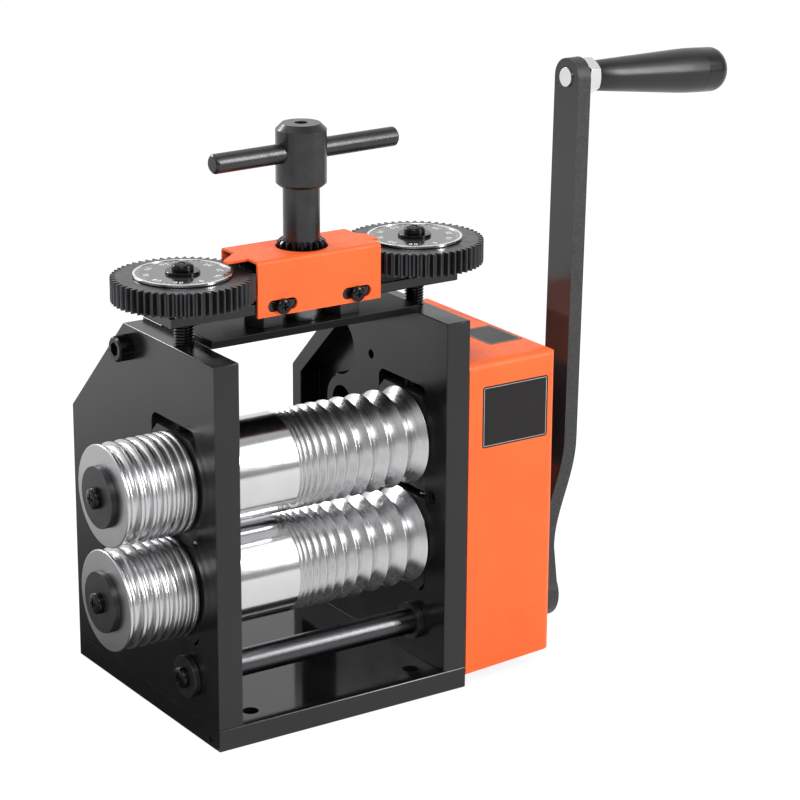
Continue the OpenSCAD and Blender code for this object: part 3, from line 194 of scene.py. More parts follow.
def new_primitive(name, add, **settings):
    """A primitive from one of Blender's add operators."""
    bpy.ops.object.select_all(action="DESELECT")
    add(**settings)
    piece = bpy.context.object
    piece.name = name
    return piece


def settle(piece):
    """Puts the place, turn and size of a piece into its mesh."""
    take(piece)
    bpy.ops.object.transform_apply(location=True, rotation=True, scale=True)


def block(name, low, high):
    """A block between two corners in millimetres."""
    low, high = at(*low), at(*high)
    piece = new_primitive(name, bpy.ops.mesh.primitive_cube_add, size=1, location=(low + high) / 2,
                          scale=high - low)
    settle(piece)
    return piece


def trace(name, points):
    """A line through places in metres, left open for editing."""
    piece = new_primitive(name, bpy.ops.mesh.primitive_plane_add, size=MM)
    edit(piece, "VERT")
    bpy.ops.mesh.merge(type="CENTER")
    bpy.ops.transform.translate(value=points[0])
    for here, there in zip(points, points[1:]):
        bpy.ops.mesh.extrude_vertices_move(TRANSFORM_OT_translate={"value": there - here})
    return piece


# Direction of each turning axis, and a direction square to it
AXES = {"X": (Vector((1, 0, 0)), Vector((0, 0, 1))),
        "Z": (Vector((0, 0, 1)), Vector((1, 0, 0))),
        "GRIP": (Vector((math.cos(GRIP_LEAN), 0, -math.sin(GRIP_LEAN))),
                 Vector((math.sin(GRIP_LEAN), 0, math.cos(GRIP_LEAN))))}


def turned(name, outline, centre, axis="X", steps=96):
    """Turns an outline round an axis: its points are (radius, place along the axis) in millimetres."""
    along, out = AXES[axis]
    piece = trace(name, [centre + (out * r + along * a) * MM for r, a in outline])
    bpy.ops.mesh.select_all(action="SELECT")
    bpy.ops.mesh.spin(steps=steps, angle=math.tau, center=centre, axis=along)
    weld(WELD)
    close()
    return piece


def copy_of(source, name):
    """A piece with its own copy of another one's mesh."""
    piece = bpy.data.objects.new(name, source.data.copy())
    bpy.context.scene.collection.objects.link(piece)
    return piece


def eased_copy(node, width):
    """A copy of a CAD node's mesh with flat faces joined and its edges rounded."""
    piece = copy_of(frame["nodes"][node], node + "_eased")
    edit(piece)
    bpy.ops.mesh.remove_doubles(threshold=CAD_WELD * MM)
    bpy.ops.mesh.dissolve_limited(angle_limit=math.radians(FLAT))
    bpy.ops.mesh.customdata_custom_splitnormals_clear()
    close()
    if width:
        ease(piece, width)
    shade(piece)
    return piece


def join(name, pieces):
    """Makes one piece of several."""
    take(*pieces)
    if len(pieces) > 1:
        bpy.ops.object.join()
    pieces[0].name = name
    return pieces[0]


def copies(name, pattern, places):
    """Copies of a pattern at each matrix, each with its own mesh, joined into one piece."""
    made = []
    for place in places:
        copy = copy_of(pattern, name)
        copy.data.transform(place)
        made.append(copy)
    return join(name, made)


def cut(piece, cutter, operation="DIFFERENCE"):
    """Cuts a shape out of a piece, or makes another operation with it, and throws the shape away."""
    apply_modifier(piece, "BOOLEAN", operation=operation, solver="EXACT", object=cutter)
    bpy.data.objects.remove(cutter)


def facing(place, direction):
    """Matrix that stands a pattern made along Z at a place, with its Z in a direction."""
    return Matrix.Translation(place) @ Vector(direction).to_track_quat("Z", "Y").to_matrix().to_4x4()


def mount(piece, node, look, between=None):
    """Lets a piece stand for a CAD node: it gets a material and the node's body, and the node is hidden.

    A spring, given between, gets no body and keeps its place in the world instead.
    """
    piece.data.materials.clear()
    piece.data.materials.append(look)
    if between:
        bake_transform(piece)
    else:
        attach(piece, NODE_BODY[node])
    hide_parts(node)


def paint_faces(piece, looks, choose):
    """Adds materials to a piece: choose gives the number of a face's material."""
    for look in looks:
        piece.data.materials.append(look)
    for face in piece.data.polygons:
        face.material_index = choose(face)


# Materials

def fill(node, **values):
    """Sets sockets of a shader node by their names, with underscores for spaces."""
    for key, value in values.items():
        node.inputs[key.replace("_", " ")].default_value = value


class Look:
    """A material on Object coordinates, with the parts that its patterns need."""

    def __init__(self, name, colour, roughness, metallic=0.0, **sockets):
        self.material = bpy.data.materials.new(name)
        self.material.use_nodes = True
        self.nodes = self.material.node_tree.nodes
        self.links = self.material.node_tree.links
        self.shader = self.nodes["Principled BSDF"]
        fill(self.shader, Base_Color=(*colour, 1), Roughness=roughness, Metallic=metallic, **sockets)
        self.place = self.nodes.new("ShaderNodeTexCoord").outputs["Object"]
        self.height = None

    def math(self, operation, *values):
        """A sum, product, root or other result of sockets and numbers."""
        node = self.nodes.new("ShaderNodeMath")
        node.operation = operation
        for socket, value in zip(node.inputs, values):
            if isinstance(value, (int, float)):
                socket.default_value = value
            else:
                self.links.new(value, socket)
        return node.outputs[0]

    def centred(self, centre):
        """Object coordinates centred on a place in metres."""
        node = self.nodes.new("ShaderNodeMapping")
        node.vector_type = "POINT"
        fill(node, Location=[-c for c in centre])
        self.links.new(self.place, node.inputs["Vector"])
        return node.outputs[0]

    def noise(self, scale, detail=2, line=None, rough=0.5):
        """Noise in space, or along a single value."""
        node = self.nodes.new("ShaderNodeTexNoise")
        if line is not None:
            node.noise_dimensions = "1D"
            self.links.new(line, node.inputs["W"])
        else:
            self.links.new(self.place, node.inputs["Vector"])
        fill(node, Scale=scale, Detail=detail, Roughness=rough)
        return node.outputs[0]

    def spread(self, value, low, high, start=0.3, end=0.7):
        """Maps a value that runs from start to end to one that runs from low to high."""
        node = self.nodes.new("ShaderNodeMapRange")
        fill(node, From_Min=start, From_Max=end, To_Min=low, To_Max=high)
        self.links.new(value, node.inputs["Value"])
        return node.outputs[0]

    def shades(self, value, *stops):
        """A colour from a value: each stop is (place, colour)."""
        node = self.nodes.new("ShaderNodeValToRGB")
        for element, (position, colour) in zip(node.color_ramp.elements, stops):
            element.position = position
            element.color = (*colour, 1)
        self.links.new(value, node.inputs[0])
        return node.outputs[0]

    def give(self, socket, value):
        """Lets a pattern drive a socket of the surface."""
        self.links.new(value, self.shader.inputs[socket])

    def bump(self, height, depth):
        """Adds a relief of a depth in millimetres to those already there."""
        node = self.nodes.new("ShaderNodeBump")
        fill(node, Distance=depth * MM, Strength=1.0)
        self.links.new(height, node.inputs["Height"])
        if self.height is not None:
            self.links.new(self.height, node.inputs["Normal"])
        self.height = node.outputs[0]
        self.links.new(self.height, self.shader.inputs["Normal"])

    def fade(self, share, other):
        """Fades the surface into another shader by a share."""
        node = self.nodes.new("ShaderNodeMixShader")
        for socket, source in zip(node.inputs, (share, self.shader.outputs[0], other.outputs[0])):
            self.links.new(source, socket)
        self.links.new(node.outputs[0], self.nodes["Material Output"].inputs["Surface"])


def enamel(name, colour, low, high, peel=0.004, worn=0.03, gloss=0.42):
    """Gloss paint: soft orange peel, dust in the gloss and a slightly uneven black."""
    look = Look(name, colour, low, Specular_IOR_Level=gloss)
    look.give("Roughness", look.spread(look.noise(scale=38, detail=3), low, high))
    brighter = tuple(c + worn * 0.25 for c in colour)
    dust = look.noise(scale=21, detail=4)
    look.give("Base Color", look.shades(dust, (0.3, colour), (0.75, brighter)))
    look.bump(look.noise(scale=420), peel)
    return look.material


def powder_coat(name, colour, deep):
    """Satin powder coat: fine even peel, a little colour drift."""
    look = Look(name, colour, 0.42, Specular_IOR_Level=0.25)
    look.give("Base Color", look.shades(look.noise(scale=26, detail=3), (0.35, colour), (0.7, deep)))
    look.give("Roughness", look.spread(look.noise(scale=300), 0.36, 0.5))
    look.bump(look.noise(scale=850), depth=0.012)
    look.bump(look.noise(scale=2600, detail=1), depth=0.003)
    return look.material


def turned_steel(name, colour, low, high, centre, axis="X", marks=0.0012, metallic=1.0, drift=0.12):
    """Metal off a lathe: fine rings round an axis that passes through centre, on its sides and its faces."""
    look = Look(name, colour, low, metallic)
    split = look.nodes.new("ShaderNodeSeparateXYZ")
    look.links.new(look.centred(centre), split.inputs[0])
    along, first, second = [split.outputs[i] for i in ((0, 1, 2) if axis == "X" else (2, 0, 1))]
    square = look.math("ADD", look.math("MULTIPLY", first, first), look.math("MULTIPLY", second, second))
    line = look.math("ADD", along, look.math("SQRT", square))
    rings = look.noise(scale=5200, detail=3, line=line, rough=0.65)
    bands = look.noise(scale=330, detail=3, line=line, rough=0.6)
    cloud = look.noise(scale=60, detail=4)
    dullness = look.math("ADD", look.math("MULTIPLY", bands, 0.6), look.math("MULTIPLY", cloud, 0.4))
    look.give("Roughness", look.spread(dullness, low, high))
    dark = tuple(c * (1 - drift) for c in colour)
    tone = look.math("ADD", look.math("MULTIPLY", rings, 0.5), look.math("MULTIPLY", cloud, 0.5))
    look.give("Base Color", look.shades(tone, (0.3, dark), (0.7, colour)))
    look.bump(rings, marks)
    return look.material


def blackened(name, colour, low, high, grain=0.006, metallic=0.85):
    """Black oxide on steel: satin, with cloudy patches and fine grain."""
    look = Look(name, colour, low, metallic)
    pale = tuple(c * 1.45 for c in colour)
    look.give("Base Color", look.shades(look.noise(scale=75, detail=4), (0.3, colour), (0.72, pale)))
    look.give("Roughness", look.spread(look.noise(scale=240, detail=3), low, high))
    look.bump(look.noise(scale=1500), grain)
    return look.material


def cast_skin(name, colour, pale, depth, scale):
    """Coated casting or forging: pitted grain."""
    look = Look(name, colour, roughness=0.5, metallic=0.35)
    grain = look.noise(scale, detail=4, rough=0.62)
    look.give("Base Color", look.shades(grain, (0.38, colour), (0.66, pale)))
    look.give("Roughness", look.spread(grain, 0.36, 0.62))
    look.bump(look.noise(scale * 0.35), depth * 0.8)
    look.bump(grain, depth)
    return look.material


def moulded(name, colour, low, high):
    """Moulded plastic with a faint unevenness."""
    look = Look(name, colour, low, Specular_IOR_Level=0.45)
    look.give("Roughness", look.spread(look.noise(scale=90, detail=3), low, high))
    look.bump(look.noise(scale=160), depth=0.01)
    return look.material


# Centres of the turning marks
roll_axes = {key: at(0, ROLL_Y, z) for key, (z, end) in ROLLS.items()}
dial_axis = at(0, ROLL_Y, 0)
grip_low, grip_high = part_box("crank_grip")
grip_axis = Vector((0, (grip_low.y + grip_high.y) / 2, (grip_low.z + grip_high.z) / 2))

# Paints and plastics: name, colour, least and greatest roughness
BLACK, PLASTIC_BLACK = (0.005, 0.005, 0.0055), (0.007, 0.007, 0.0075)
black_enamel = enamel("black_enamel", BLACK, 0.17, 0.26, worn=0.015)
base_enamel = enamel("base_enamel", BLACK, 0.06, 0.12, peel=0.002, worn=0.01)
# The cross plate's black paint, a little darker and far less glossy than black_enamel: painted shade for its
# place under the bridge
shaded_cross_enamel = enamel("shaded_cross_enamel", (0.004, 0.004, 0.0045), 0.34, 0.42, worn=0.01, gloss=0.1)
crank_coat = enamel("crank_coat", (0.012, 0.012, 0.013), 0.10, 0.16, peel=0.003)
label_black = enamel("label_black", (0.011, 0.0095, 0.0095), 0.34, 0.42, peel=0.001, worn=0.01, gloss=0.2)
orange_coat = powder_coat("orange_powder_coat", (0.85, 0.128, 0.026), deep=(0.80, 0.108, 0.022))
crank_edge = cast_skin("crank_edge", (0.018, 0.018, 0.019), pale=(0.062, 0.063, 0.065), depth=0.04,
                       scale=1500)
grip_plastic = moulded("grip_plastic", PLASTIC_BLACK, 0.28, 0.34)
grip_cap = moulded("grip_cap", PLASTIC_BLACK, 0.2, 0.25)

# Turned metals: name, colour, least and greatest roughness, centre of the turning marks
steel = {key: turned_steel(f"ground_steel_{key}", (0.66, 0.66, 0.67), 0.12, 0.18, centre, marks=0.0004)
         for key, centre in roll_axes.items()}
groove_steel = {key: turned_steel(f"grooved_steel_{key}", (0.60, 0.60, 0.61), 0.24, 0.32, centre,
                                  marks=0.0006)
                for key, centre in roll_axes.items()}
face_steel = {key: turned_steel(f"faced_steel_{key}", (0.54, 0.54, 0.55), 0.28, 0.36, centre, marks=0.003)
              for key, centre in roll_axes.items()}
shaft_steel = turned_steel("dark_shaft_steel", (0.085, 0.086, 0.09), 0.26, 0.32, at(0, SHAFT_Y, SHAFT_Z),
                           marks=0.0002)
post_steel = turned_steel("dark_post_steel", (0.16, 0.165, 0.175), 0.22, 0.32, dial_axis, axis="Z")
dial_rim = turned_steel("polished_rim", (0.82, 0.83, 0.85), 0.12, 0.2, dial_axis, axis="Z")
dial_face = turned_steel("dial_face", (0.17, 0.171, 0.174), 0.08, 0.13, dial_axis, axis="Z", marks=0.0003,
                         metallic=0.9, drift=0.05)
zinc = turned_steel("bright_zinc", (0.74, 0.75, 0.77), 0.16, 0.3, grip_axis)
bronze = turned_steel("turned_bronze", (0.62, 0.40, 0.17), 0.25, 0.4, roll_axes["lower"])

# Blackened and printed parts: name, colour, least and greatest roughness
black_oxide = blackened("black_oxide", (0.050, 0.050, 0.053), 0.30, 0.42)
gear_oxide = blackened("gear_oxide", (0.042, 0.042, 0.045), 0.26, 0.4, grain=0.01)
screw_black = blackened("screw_black", (0.018, 0.018, 0.020), 0.14, 0.24, grain=0.003)
handle_oxide = blackened("handle_oxide", (0.041, 0.041, 0.043), 0.24, 0.32, grain=0.002)
spring_wire = blackened("spring_wire", (0.36, 0.37, 0.38), 0.25, 0.4, metallic=1.0)
# Near black for the undercut below the dial rim: painted shade for the shadow line under the rim
painted_gap_shade = blackened("painted_gap_shade", (0.004, 0.004, 0.005), 0.4, 0.5, metallic=0.0)
print_white = blackened("pale_print", (0.62, 0.63, 0.64), 0.4, 0.5, metallic=0.0)
label_line = blackened("label_line", (0.3, 0.3, 0.3), 0.4, 0.5, metallic=0.0)

SLOT_LOOK = {"black_paint": black_enamel, "orange_paint": orange_coat, "roll_steel": steel["lower"],
             "black_oxide": black_oxide, "crank_black": crank_coat, "grip_plastic": grip_plastic,
             "zinc_plate": zinc, "bush_bronze": bronze, "dial_grey": dial_face, "spring_steel": spring_wire}
for name, node in frame["nodes"].items():
    node.data.materials.clear()
    node.data.materials.append(SLOT_LOOK[NODE_SLOT[name]])


# Plates of the frame

PLATE_EDGE = 0.55
for node, look in (("base_plate", base_enamel), ("left_side_plate", black_enamel),
                   ("right_side_plate", black_enamel), ("tie_bar", black_enamel),
                   ("cross_plate", shaded_cross_enamel), ("bridge_plate", black_enamel)):
    plate = eased_copy(node, 0)
    ease_long(plate, PLATE_EDGE)
    shade(plate)
    mount(plate, node, look)


# Pieces that only need their edges rounded: node, width of the rounding, material

for node, width, look in (
        ("left_lower_block", 0.5, black_oxide), ("right_lower_block", 0.5, black_oxide),
        ("left_upper_block", 0.5, black_oxide), ("right_upper_block", 0.5, black_oxide),
        ("idler_posts", 0.3, gear_oxide), ("spindle_bush", 0.4, post_steel),
        ("shaft_bushes", 0.3, black_oxide), ("cover_posts", 0.3, gear_oxide),
        ("drive_shaft", 0.3, shaft_steel), ("drive_pinion", 0.15, gear_oxide),
        ("reduction_gear", 0.15, gear_oxide), ("lower_roll_gear", 0.25, gear_oxide),
        ("upper_roll_gear", 0.25, gear_oxide), ("lower_end_washers", 0.35, black_oxide),
        ("upper_end_washers", 0.35, black_oxide), ("shaft_end_washer", 0.35, black_oxide),
        ("left_dial_gear", 0.13, gear_oxide), ("right_dial_gear", 0.13, gear_oxide),
        ("left_idler_pinion", 0.15, screw_black), ("right_idler_pinion", 0.15, screw_black),
        ("plate_set_screw", 0.15, screw_black), ("crank_lock_screw", 0.15, screw_black),
        ("handle_lock_screw", 0.15, screw_black), ("spindle_clip", 0.15, black_oxide),
        ("grip_spindle", 0.3, zinc), ("handle_bar", 0.3, handle_oxide), ("gear_cover", 0.3, orange_coat)):
    mount(eased_copy(node, width), node, look)


# Return springs between the frame and the upper blocks, fixed in place without a body

for node in ("left_springs", "right_springs"):
    low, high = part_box(node)
    foot, head = low, Vector((low.x, low.y, high.z))
    mount(eased_copy(node, 0), node, spring_wire, between=("frame", "carriage", foot, head))


# Top cover, with the short pointer on its right

cover = eased_copy("top_cover", 0)
cut(cover, block("pointer_end", (COVER_HALF + RIGHT_POINTER, -60, 200), (COVER_HALF + 20, 0, 260)))
ease(cover, 0.3)
shade(cover)
mount(cover, "top_cover", orange_coat)


# Rolls

def barrel_outline():
    """Half section of a roll between its ends: the plain part, then the square wire grooves."""
    widest = (2 * BARREL_X - PLAIN_LEN - (len(V_SHARES) + 1) * V_LAND) / sum(V_SHARES)
    chamfer, half_floor = 0.5, 0.1
    points = [(ROLL_R - chamfer, -BARREL_X), (ROLL_R, -BARREL_X + chamfer)]
    x = -BARREL_X + PLAIN_LEN + V_LAND
    for share in V_SHARES:
        w = share * widest
        floor_r = ROLL_R - w / 2 + half_floor
        points += [(ROLL_R, x), (floor_r, x + w / 2 - half_floor), (floor_r, x + w / 2 + half_floor),
                   (ROLL_R, x + w)]
        x += w + V_LAND
    return points + [(ROLL_R - V_LAND, BARREL_X)]


def side_roller_outline():
    """Half section of a side roller: half round grooves with equal lands, and its bore."""
    land = (SIDE_START - SIDE_END - ROUND_W * sum(ROUND_SHARES)) / (len(ROUND_SHARES) + 1)
    chamfer, bore_r = 0.4, STUB_R + 0.05
    points = [(bore_r, SIDE_END), (ROLL_R - chamfer, SIDE_END), (ROLL_R, SIDE_END + chamfer)]
    x = SIDE_END + land
    for share in ROUND_SHARES:
        r = share * ROUND_W / 2
        points += [(ROLL_R - r * math.sin(a), x + r - r * math.cos(a))
                   for a in [math.pi * k / 12 for k in range(13)]]
        x += 2 * r + land
    return points + [(ROLL_R, SIDE_START - chamfer), (ROLL_R - chamfer, SIDE_START), (bore_r, SIDE_START),
                     (bore_r, SIDE_END)]


ROLL_STEPS = 160
for key, (z, end) in ROLLS.items():
    centre = roll_axes[key]
    outline = [(0, SIDE_END), (STUB_R, SIDE_END), (STUB_R, SIDE_START), (JOURNAL_R, SIDE_START),
               (JOURNAL_R, -BARREL_X), *barrel_outline(), (JOURNAL_R, BARREL_X), (JOURNAL_R, JOURNAL_END),
               (STUB_R, JOURNAL_END), (STUB_R, end), (0, end)]
    roll = turned(f"{key}_roll_ground", outline, centre, steps=ROLL_STEPS)
    ease(roll, 0.09, angle=20)
    shade(roll)
    mount(roll, f"{key}_roll", steel[key])
    paint_faces(roll, (groove_steel[key],), lambda face: int(face.center.x > (PLAIN_LEN - BARREL_X) * MM))

    roller = turned(f"{key}_side_roller_ground", side_roller_outline(), centre, steps=ROLL_STEPS)
    ease(roller, 0.22, angle=35)
    shade(roller)
    mount(roller, f"{key}_side_roller", groove_steel[key])
    paint_faces(roller, (face_steel[key],),
                lambda face: int(abs(face.normal.x) > 0.95 and face.center.x < (SIDE_END + 1) * MM))


# Screws, made along Z from the origin and then copied to their places

def pan_screw(name, shank, head, height, grip):
    """Pan head screw with a cross recess, its head above z = 0."""
    rim, foot, bulge = 0.4 * height, 0.2, 0.7
    dome = [(head * math.cos(a) ** bulge, rim + (height - rim) * math.sin(a) ** bulge)
            for a in [math.pi * k / 16 for k in range(7, -1, -1)]]
    outline = [(0, height), *dome, (head, foot), (head - foot, 0), (shank, 0), (shank, -grip), (0, -grip)]
    piece = turned(name, outline, Vector(), "Z", 40)
    recess_len, recess_w, recess_z, recess_foot = 1.25 * head, 0.26 * head, 0.92 * height, 0.55
    for turn in (0, math.pi / 2):
        bar = new_primitive("recess", bpy.ops.mesh.primitive_cube_add, size=1, rotation=(0, 0, turn),
                            location=at(0, 0, recess_z), scale=at(recess_len, recess_w, height))
        settle(bar)
        edit(bar, "FACE", lambda face: face.normal.z < -0.9)
        bpy.ops.transform.resize(value=(recess_foot, recess_foot, 1), center_override=(0, 0, 0))
        close()
        cut(piece, bar)
    ease(piece, 0.07, segments=1, angle=40)
    shade(piece, 40)
    return piece


def cap_screw(name, shank, head, height, grip):
    """Socket head cap screw with a knurled head above z = 0."""
    steps, knurl_foot, knurl_depth = 96, 0.3, 0.045
    edge = 0.12 * height
    outline = [(0, height), (head - edge, height), (head, height - edge), (head, 0.4), (head - 0.3, 0),
               (shank, 0), (shank, -grip), (0, -grip)]
    piece = turned(name, outline, Vector(), "Z", steps)

    def in_knurl(point):
        on_side = knurl_foot * MM < point.co.z < (height - edge / 2) * MM
        return (on_side and point.co.xy.length > (head - 0.05) * MM
                and round(math.atan2(point.co.y, point.co.x) * steps / math.tau) % 2 == 0)

    edit(piece, "VERT", in_knurl)
    bpy.ops.transform.resize(value=(1 - knurl_depth, 1 - knurl_depth, 1), center_override=(0, 0, 0))
    close()
    socket = new_primitive("socket", bpy.ops.mesh.primitive_cylinder_add, vertices=6,
                           radius=0.58 * head * MM, depth=height * MM, location=at(0, 0, 0.95 * height))
    settle(socket)
    cut(piece, socket)
    shade(piece, 28)
    return piece


def fasten(node, pattern, look, places):
    """Copies of a fastener at places and directions, which together stand for a node."""
    mount(copies(node + "_set", pattern, [facing(at(*place), direction) for place, direction in places]),
          node, look)


end_screw = pan_screw("end_screw", shank=3, head=5.5, height=3.8, grip=20.5)
small_screw = pan_screw("small_screw", shank=2, head=4, height=2.6, grip=9)
base_screw = cap_screw("base_cap_screw", shank=4, head=6.5, height=6, grip=20.5)
tie_screw = cap_screw("tie_cap_screw", shank=4, head=6.7, height=8, grip=30)
cross_screw = cap_screw("cross_cap_screw", shank=2.5, head=4.95, height=2, grip=12)

SIDES = (-1, 1)
LEFT, RIGHT = (-1, 0, 0), (1, 0, 0)
for key, (z, end) in ROLLS.items():
    fasten(f"{key}_end_screws", end_screw, screw_black, [((SIDE_END - END_WASHER, ROLL_Y, z), LEFT),
                                                         ((end + END_WASHER, ROLL_Y, z), RIGHT)])
fasten("shaft_end_screw", end_screw, screw_black, [((SHAFT_LEFT, SHAFT_Y, SHAFT_Z), LEFT)])
fasten("gear_cover_screws", small_screw, screw_black, [((COVER_X, y, z), RIGHT) for y, z in COVER_SCREWS])
fasten("top_cover_screws", small_screw, screw_black,
       [((side * SLOT_X, y, SLOT_Z), (0, turn, 0))
        for side in SIDES for y, turn in ((SLOT_FRONT_Y, -1), (SLOT_REAR_Y, 1))])
fasten("base_screws", base_screw, black_oxide,
       [((side * MID_X, y, BASE_SEAT_Z), (0, 0, -1)) for side in SIDES for y in BASE_SCREW_YS])
fasten("tie_bar_screws", tie_screw, screw_black,
       [((side * OUTER_X, TIE_Y, TIE_Z), (side, 0, 0)) for side in SIDES])
fasten("cross_plate_screws", cross_screw, screw_black,
       [((side * CROSS_SCREW_X, TIE_Y, CROSS_SEAT_Z), (0, 0, 1)) for side in SIDES])


# Pressure screws

def threaded(name, low, high, radius):
    """Threaded bar between two heights on the Z axis."""
    root = radius - THREAD_DEPTH * THREAD_PITCH
    off_turn = 0.02  # keeps the thread's points off the plane that cuts its foot
    start = low - 2 * THREAD_PITCH - off_turn
    profile = [(root, 0), (root, 0.25), (radius, 0.56), (radius, 0.69), (root, 1)]
    piece = trace(name, [at(r, 0, start + share * THREAD_PITCH) for r, share in profile])
    close()
    apply_modifier(piece, "SCREW", axis="Z", angle=math.tau, screw_offset=THREAD_PITCH * MM, steps=32,
                   render_steps=32, iterations=math.ceil((high - low) / THREAD_PITCH) + 4)
    edit(piece)
    weld(CAD_WELD)
    for height, below in ((low, True), (high, False)):
        bpy.ops.mesh.select_all(action="SELECT")
        bpy.ops.mesh.bisect(plane_co=at(0, 0, height), plane_no=(0, 0, 1), use_fill=True,
                            clear_inner=below, clear_outer=not below)
    weld(CAD_WELD)
    close()
    return piece


def pressure_screw():
    """Screw with its foot pin and the flatted stub that carries the dial gear, on the Z axis."""
    foot, chamfer = SCREW_FOOT - PIN_LEN, 0.4
    tapped_r, tapped_foot, flat = 2.03, DIAL_Z + 0.5, 1.5
    core = turned("pressure_core", [(0, foot), (PIN_R - chamfer, foot), (PIN_R, foot + chamfer),
                                    (PIN_R, DIAL_TOP), (tapped_r, DIAL_TOP), (tapped_r, tapped_foot),
                                    (0, tapped_foot)], Vector(), "Z", 48)
    cut(core, block("flat", (PIN_R - flat, -6, DIAL_Z), (6, 6, DIAL_TOP + 1)))
    cut(core, threaded("thread", THREAD_FOOT, THREAD_TOP, SCREW_R), "UNION")
    shade(core, 25)
    return core


# Dials

def printed(shape, centre, turn, offset):
    """Moves a shape by an offset and then round the middle of a dial plate by a turn."""
    shape.data.transform(Matrix.Translation((centre.x, centre.y, DIAL_FACE * MM))
                         @ Matrix.Rotation(turn, 4, "Z") @ offset)
    return shape


def dial_print(name, centre, edge):
    """Fifty marks and the numbers from 0 to 90 on a dial plate, as one piece."""
    marks, numbers = 50, 10
    long_mark, short_mark, half_w, inset = 2.2, 1.3, 0.11, 0.5
    shapes = []
    for k in range(marks):
        length = long_mark if k % 5 == 0 else short_mark
        mark = block("mark", (edge - inset - length, -half_w, -0.01), (edge - inset, half_w, 0.03))
        shapes.append(printed(mark, centre, math.tau * k / marks, Matrix()))
    upright = Matrix.Translation(at(18.6, 0, 0.015)) @ Matrix.Rotation(math.pi / 2, 4, "Z")
    for k in range(numbers):
        bpy.ops.object.text_add()
        text = bpy.context.object
        text.data.body = str(10 * k)
        text.data.size = 4.3 * MM
        text.data.space_character = 1.25
        text.data.align_x = "CENTER"
        text.data.align_y = "CENTER"
        text.data.resolution_u = 3
        text.data.extrude = 0.02 * MM
        take(text)
        bpy.ops.object.convert(target="MESH")
        turn = math.tau * k / numbers - math.pi / 2
        shapes.append(printed(bpy.context.object, centre, turn, upright))
    piece = join(f"{name}_dial_print", shapes)
    edit(piece)
    weld(PRINT_WELD)
    close()
    piece.data.materials.clear()
    piece.data.materials.append(print_white)
    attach(piece, NODE_BODY[f"{name}_dial_plate"])


def numbered_dial(name, centre):
    """Dial plate with a polished rim over an undercut painted near black as shade, and its printed numbers
    and marks.
    """
    edge = DIAL_R - RIM_W
    gap_r, gap_top, rim_top = DIAL_R - 0.7, DIAL_TOP + 0.5, DIAL_FACE + 0.3
    outline = [(DIAL_BORE_R, DIAL_TOP), (gap_r, DIAL_TOP), (gap_r, gap_top), (DIAL_R, gap_top + 0.05),
               (DIAL_R, rim_top - 0.08), (DIAL_R - 0.1, rim_top), (edge, rim_top), (edge - 0.1, DIAL_FACE),
               (DIAL_BORE_R, DIAL_FACE), (DIAL_BORE_R, DIAL_TOP)]
    plate = turned("dial_plate", outline, centre, "Z", 128)
    shade(plate)
    mount(plate, f"{name}_dial_plate", dial_face)

    def zone(face):
        if face.center.z < (gap_top + 0.02) * MM:
            return 2
        return int((face.center - centre).xy.length > (edge - 0.06) * MM)

    # Faces past the rim's inner edge get the polished rim; the undercut faces get the painted shade
    paint_faces(plate, (dial_rim, painted_gap_shade), zone)
    dial_print(name, centre, edge)


dial_fixing = pan_screw("dial_fixing", shank=2, head=5.5, height=3.8, grip=13.7)
dial_washer = turned("dial_washer", [(DIAL_BORE_R, 0), (8.35, 0), (8.6, 0.25), (8.6, FIXING_WASHER - 0.25),
                                     (8.35, FIXING_WASHER), (DIAL_BORE_R, FIXING_WASHER), (DIAL_BORE_R, 0)],
                     Vector(), "Z", 64)
shade(dial_washer)
standing_screw = pressure_screw()
for side, name in zip(SIDES, ("left", "right")):
    centre = at(side * DIAL_X, ROLL_Y, 0)
    thread = copies(f"{name}_pressure_thread", standing_screw, [Matrix.Translation(centre)])
    mount(thread, f"{name}_pressure_screw", screw_black)
    seat = Matrix.Translation(at(side * DIAL_X, ROLL_Y, DIAL_FACE))
    head = copies("fixing", dial_fixing, [seat @ Matrix.Translation(at(0, 0, FIXING_WASHER))])
    washer = copies("washer", dial_washer, [seat])
    mount(join(f"{name}_dial_fixing", [head, washer]), f"{name}_dial_screw", screw_black)
    numbered_dial(name, centre)

for pattern in (end_screw, small_screw, base_screw, tie_screw, cross_screw, dial_fixing, dial_washer,
                standing_screw):
    bpy.data.objects.remove(pattern)


# Handle, with a chamfer on the teeth of its pinion

spindle = eased_copy("handle_spindle", 0)
inner_r, outer_r, chamfer_top, chamfer_foot = PINION_R - 1.6, PINION_R + 1, PINION_TOP + 0.2, PINION_TOP - 2.4
cut(spindle, turned("corner", [(inner_r, chamfer_top), (outer_r, chamfer_top), (outer_r, chamfer_foot),
                               (inner_r, chamfer_top)], dial_axis, "Z", 64))
ease(spindle, 0.18)
shade(spindle)
mount(spindle, "handle_spindle", handle_oxide)
paint_faces(spindle, (screw_black,), lambda face: int(face.center.z < (PINION_TOP + 0.05) * MM))


# Crank arm, rougher on its edges than on its flat sides

arm = eased_copy("crank_arm", 0.45)
mount(arm, "crank_arm", crank_coat)
paint_faces(arm, (crank_edge,), lambda face: int(abs(face.normal.x) < 0.8))


# Grip and its nut, whose corners are turned off

grip_centre = at(GRIP_X, SHAFT_Y, GRIP_Z)
nut = eased_copy("grip_nut", 0)
nut_face_r = 8.2
blank = turned("nut_blank", [(0, NUT_START), (nut_face_r, NUT_START), (NUT_R, NUT_START + NUT_CHAMFER),
                             (NUT_R, NUT_END - NUT_CHAMFER), (nut_face_r, NUT_END), (0, NUT_END)],
               grip_centre, "GRIP", 64)
cut(nut, blank, "INTERSECT")
ease(nut, 0.15)
shade(nut)
mount(nut, "grip_nut", zinc)


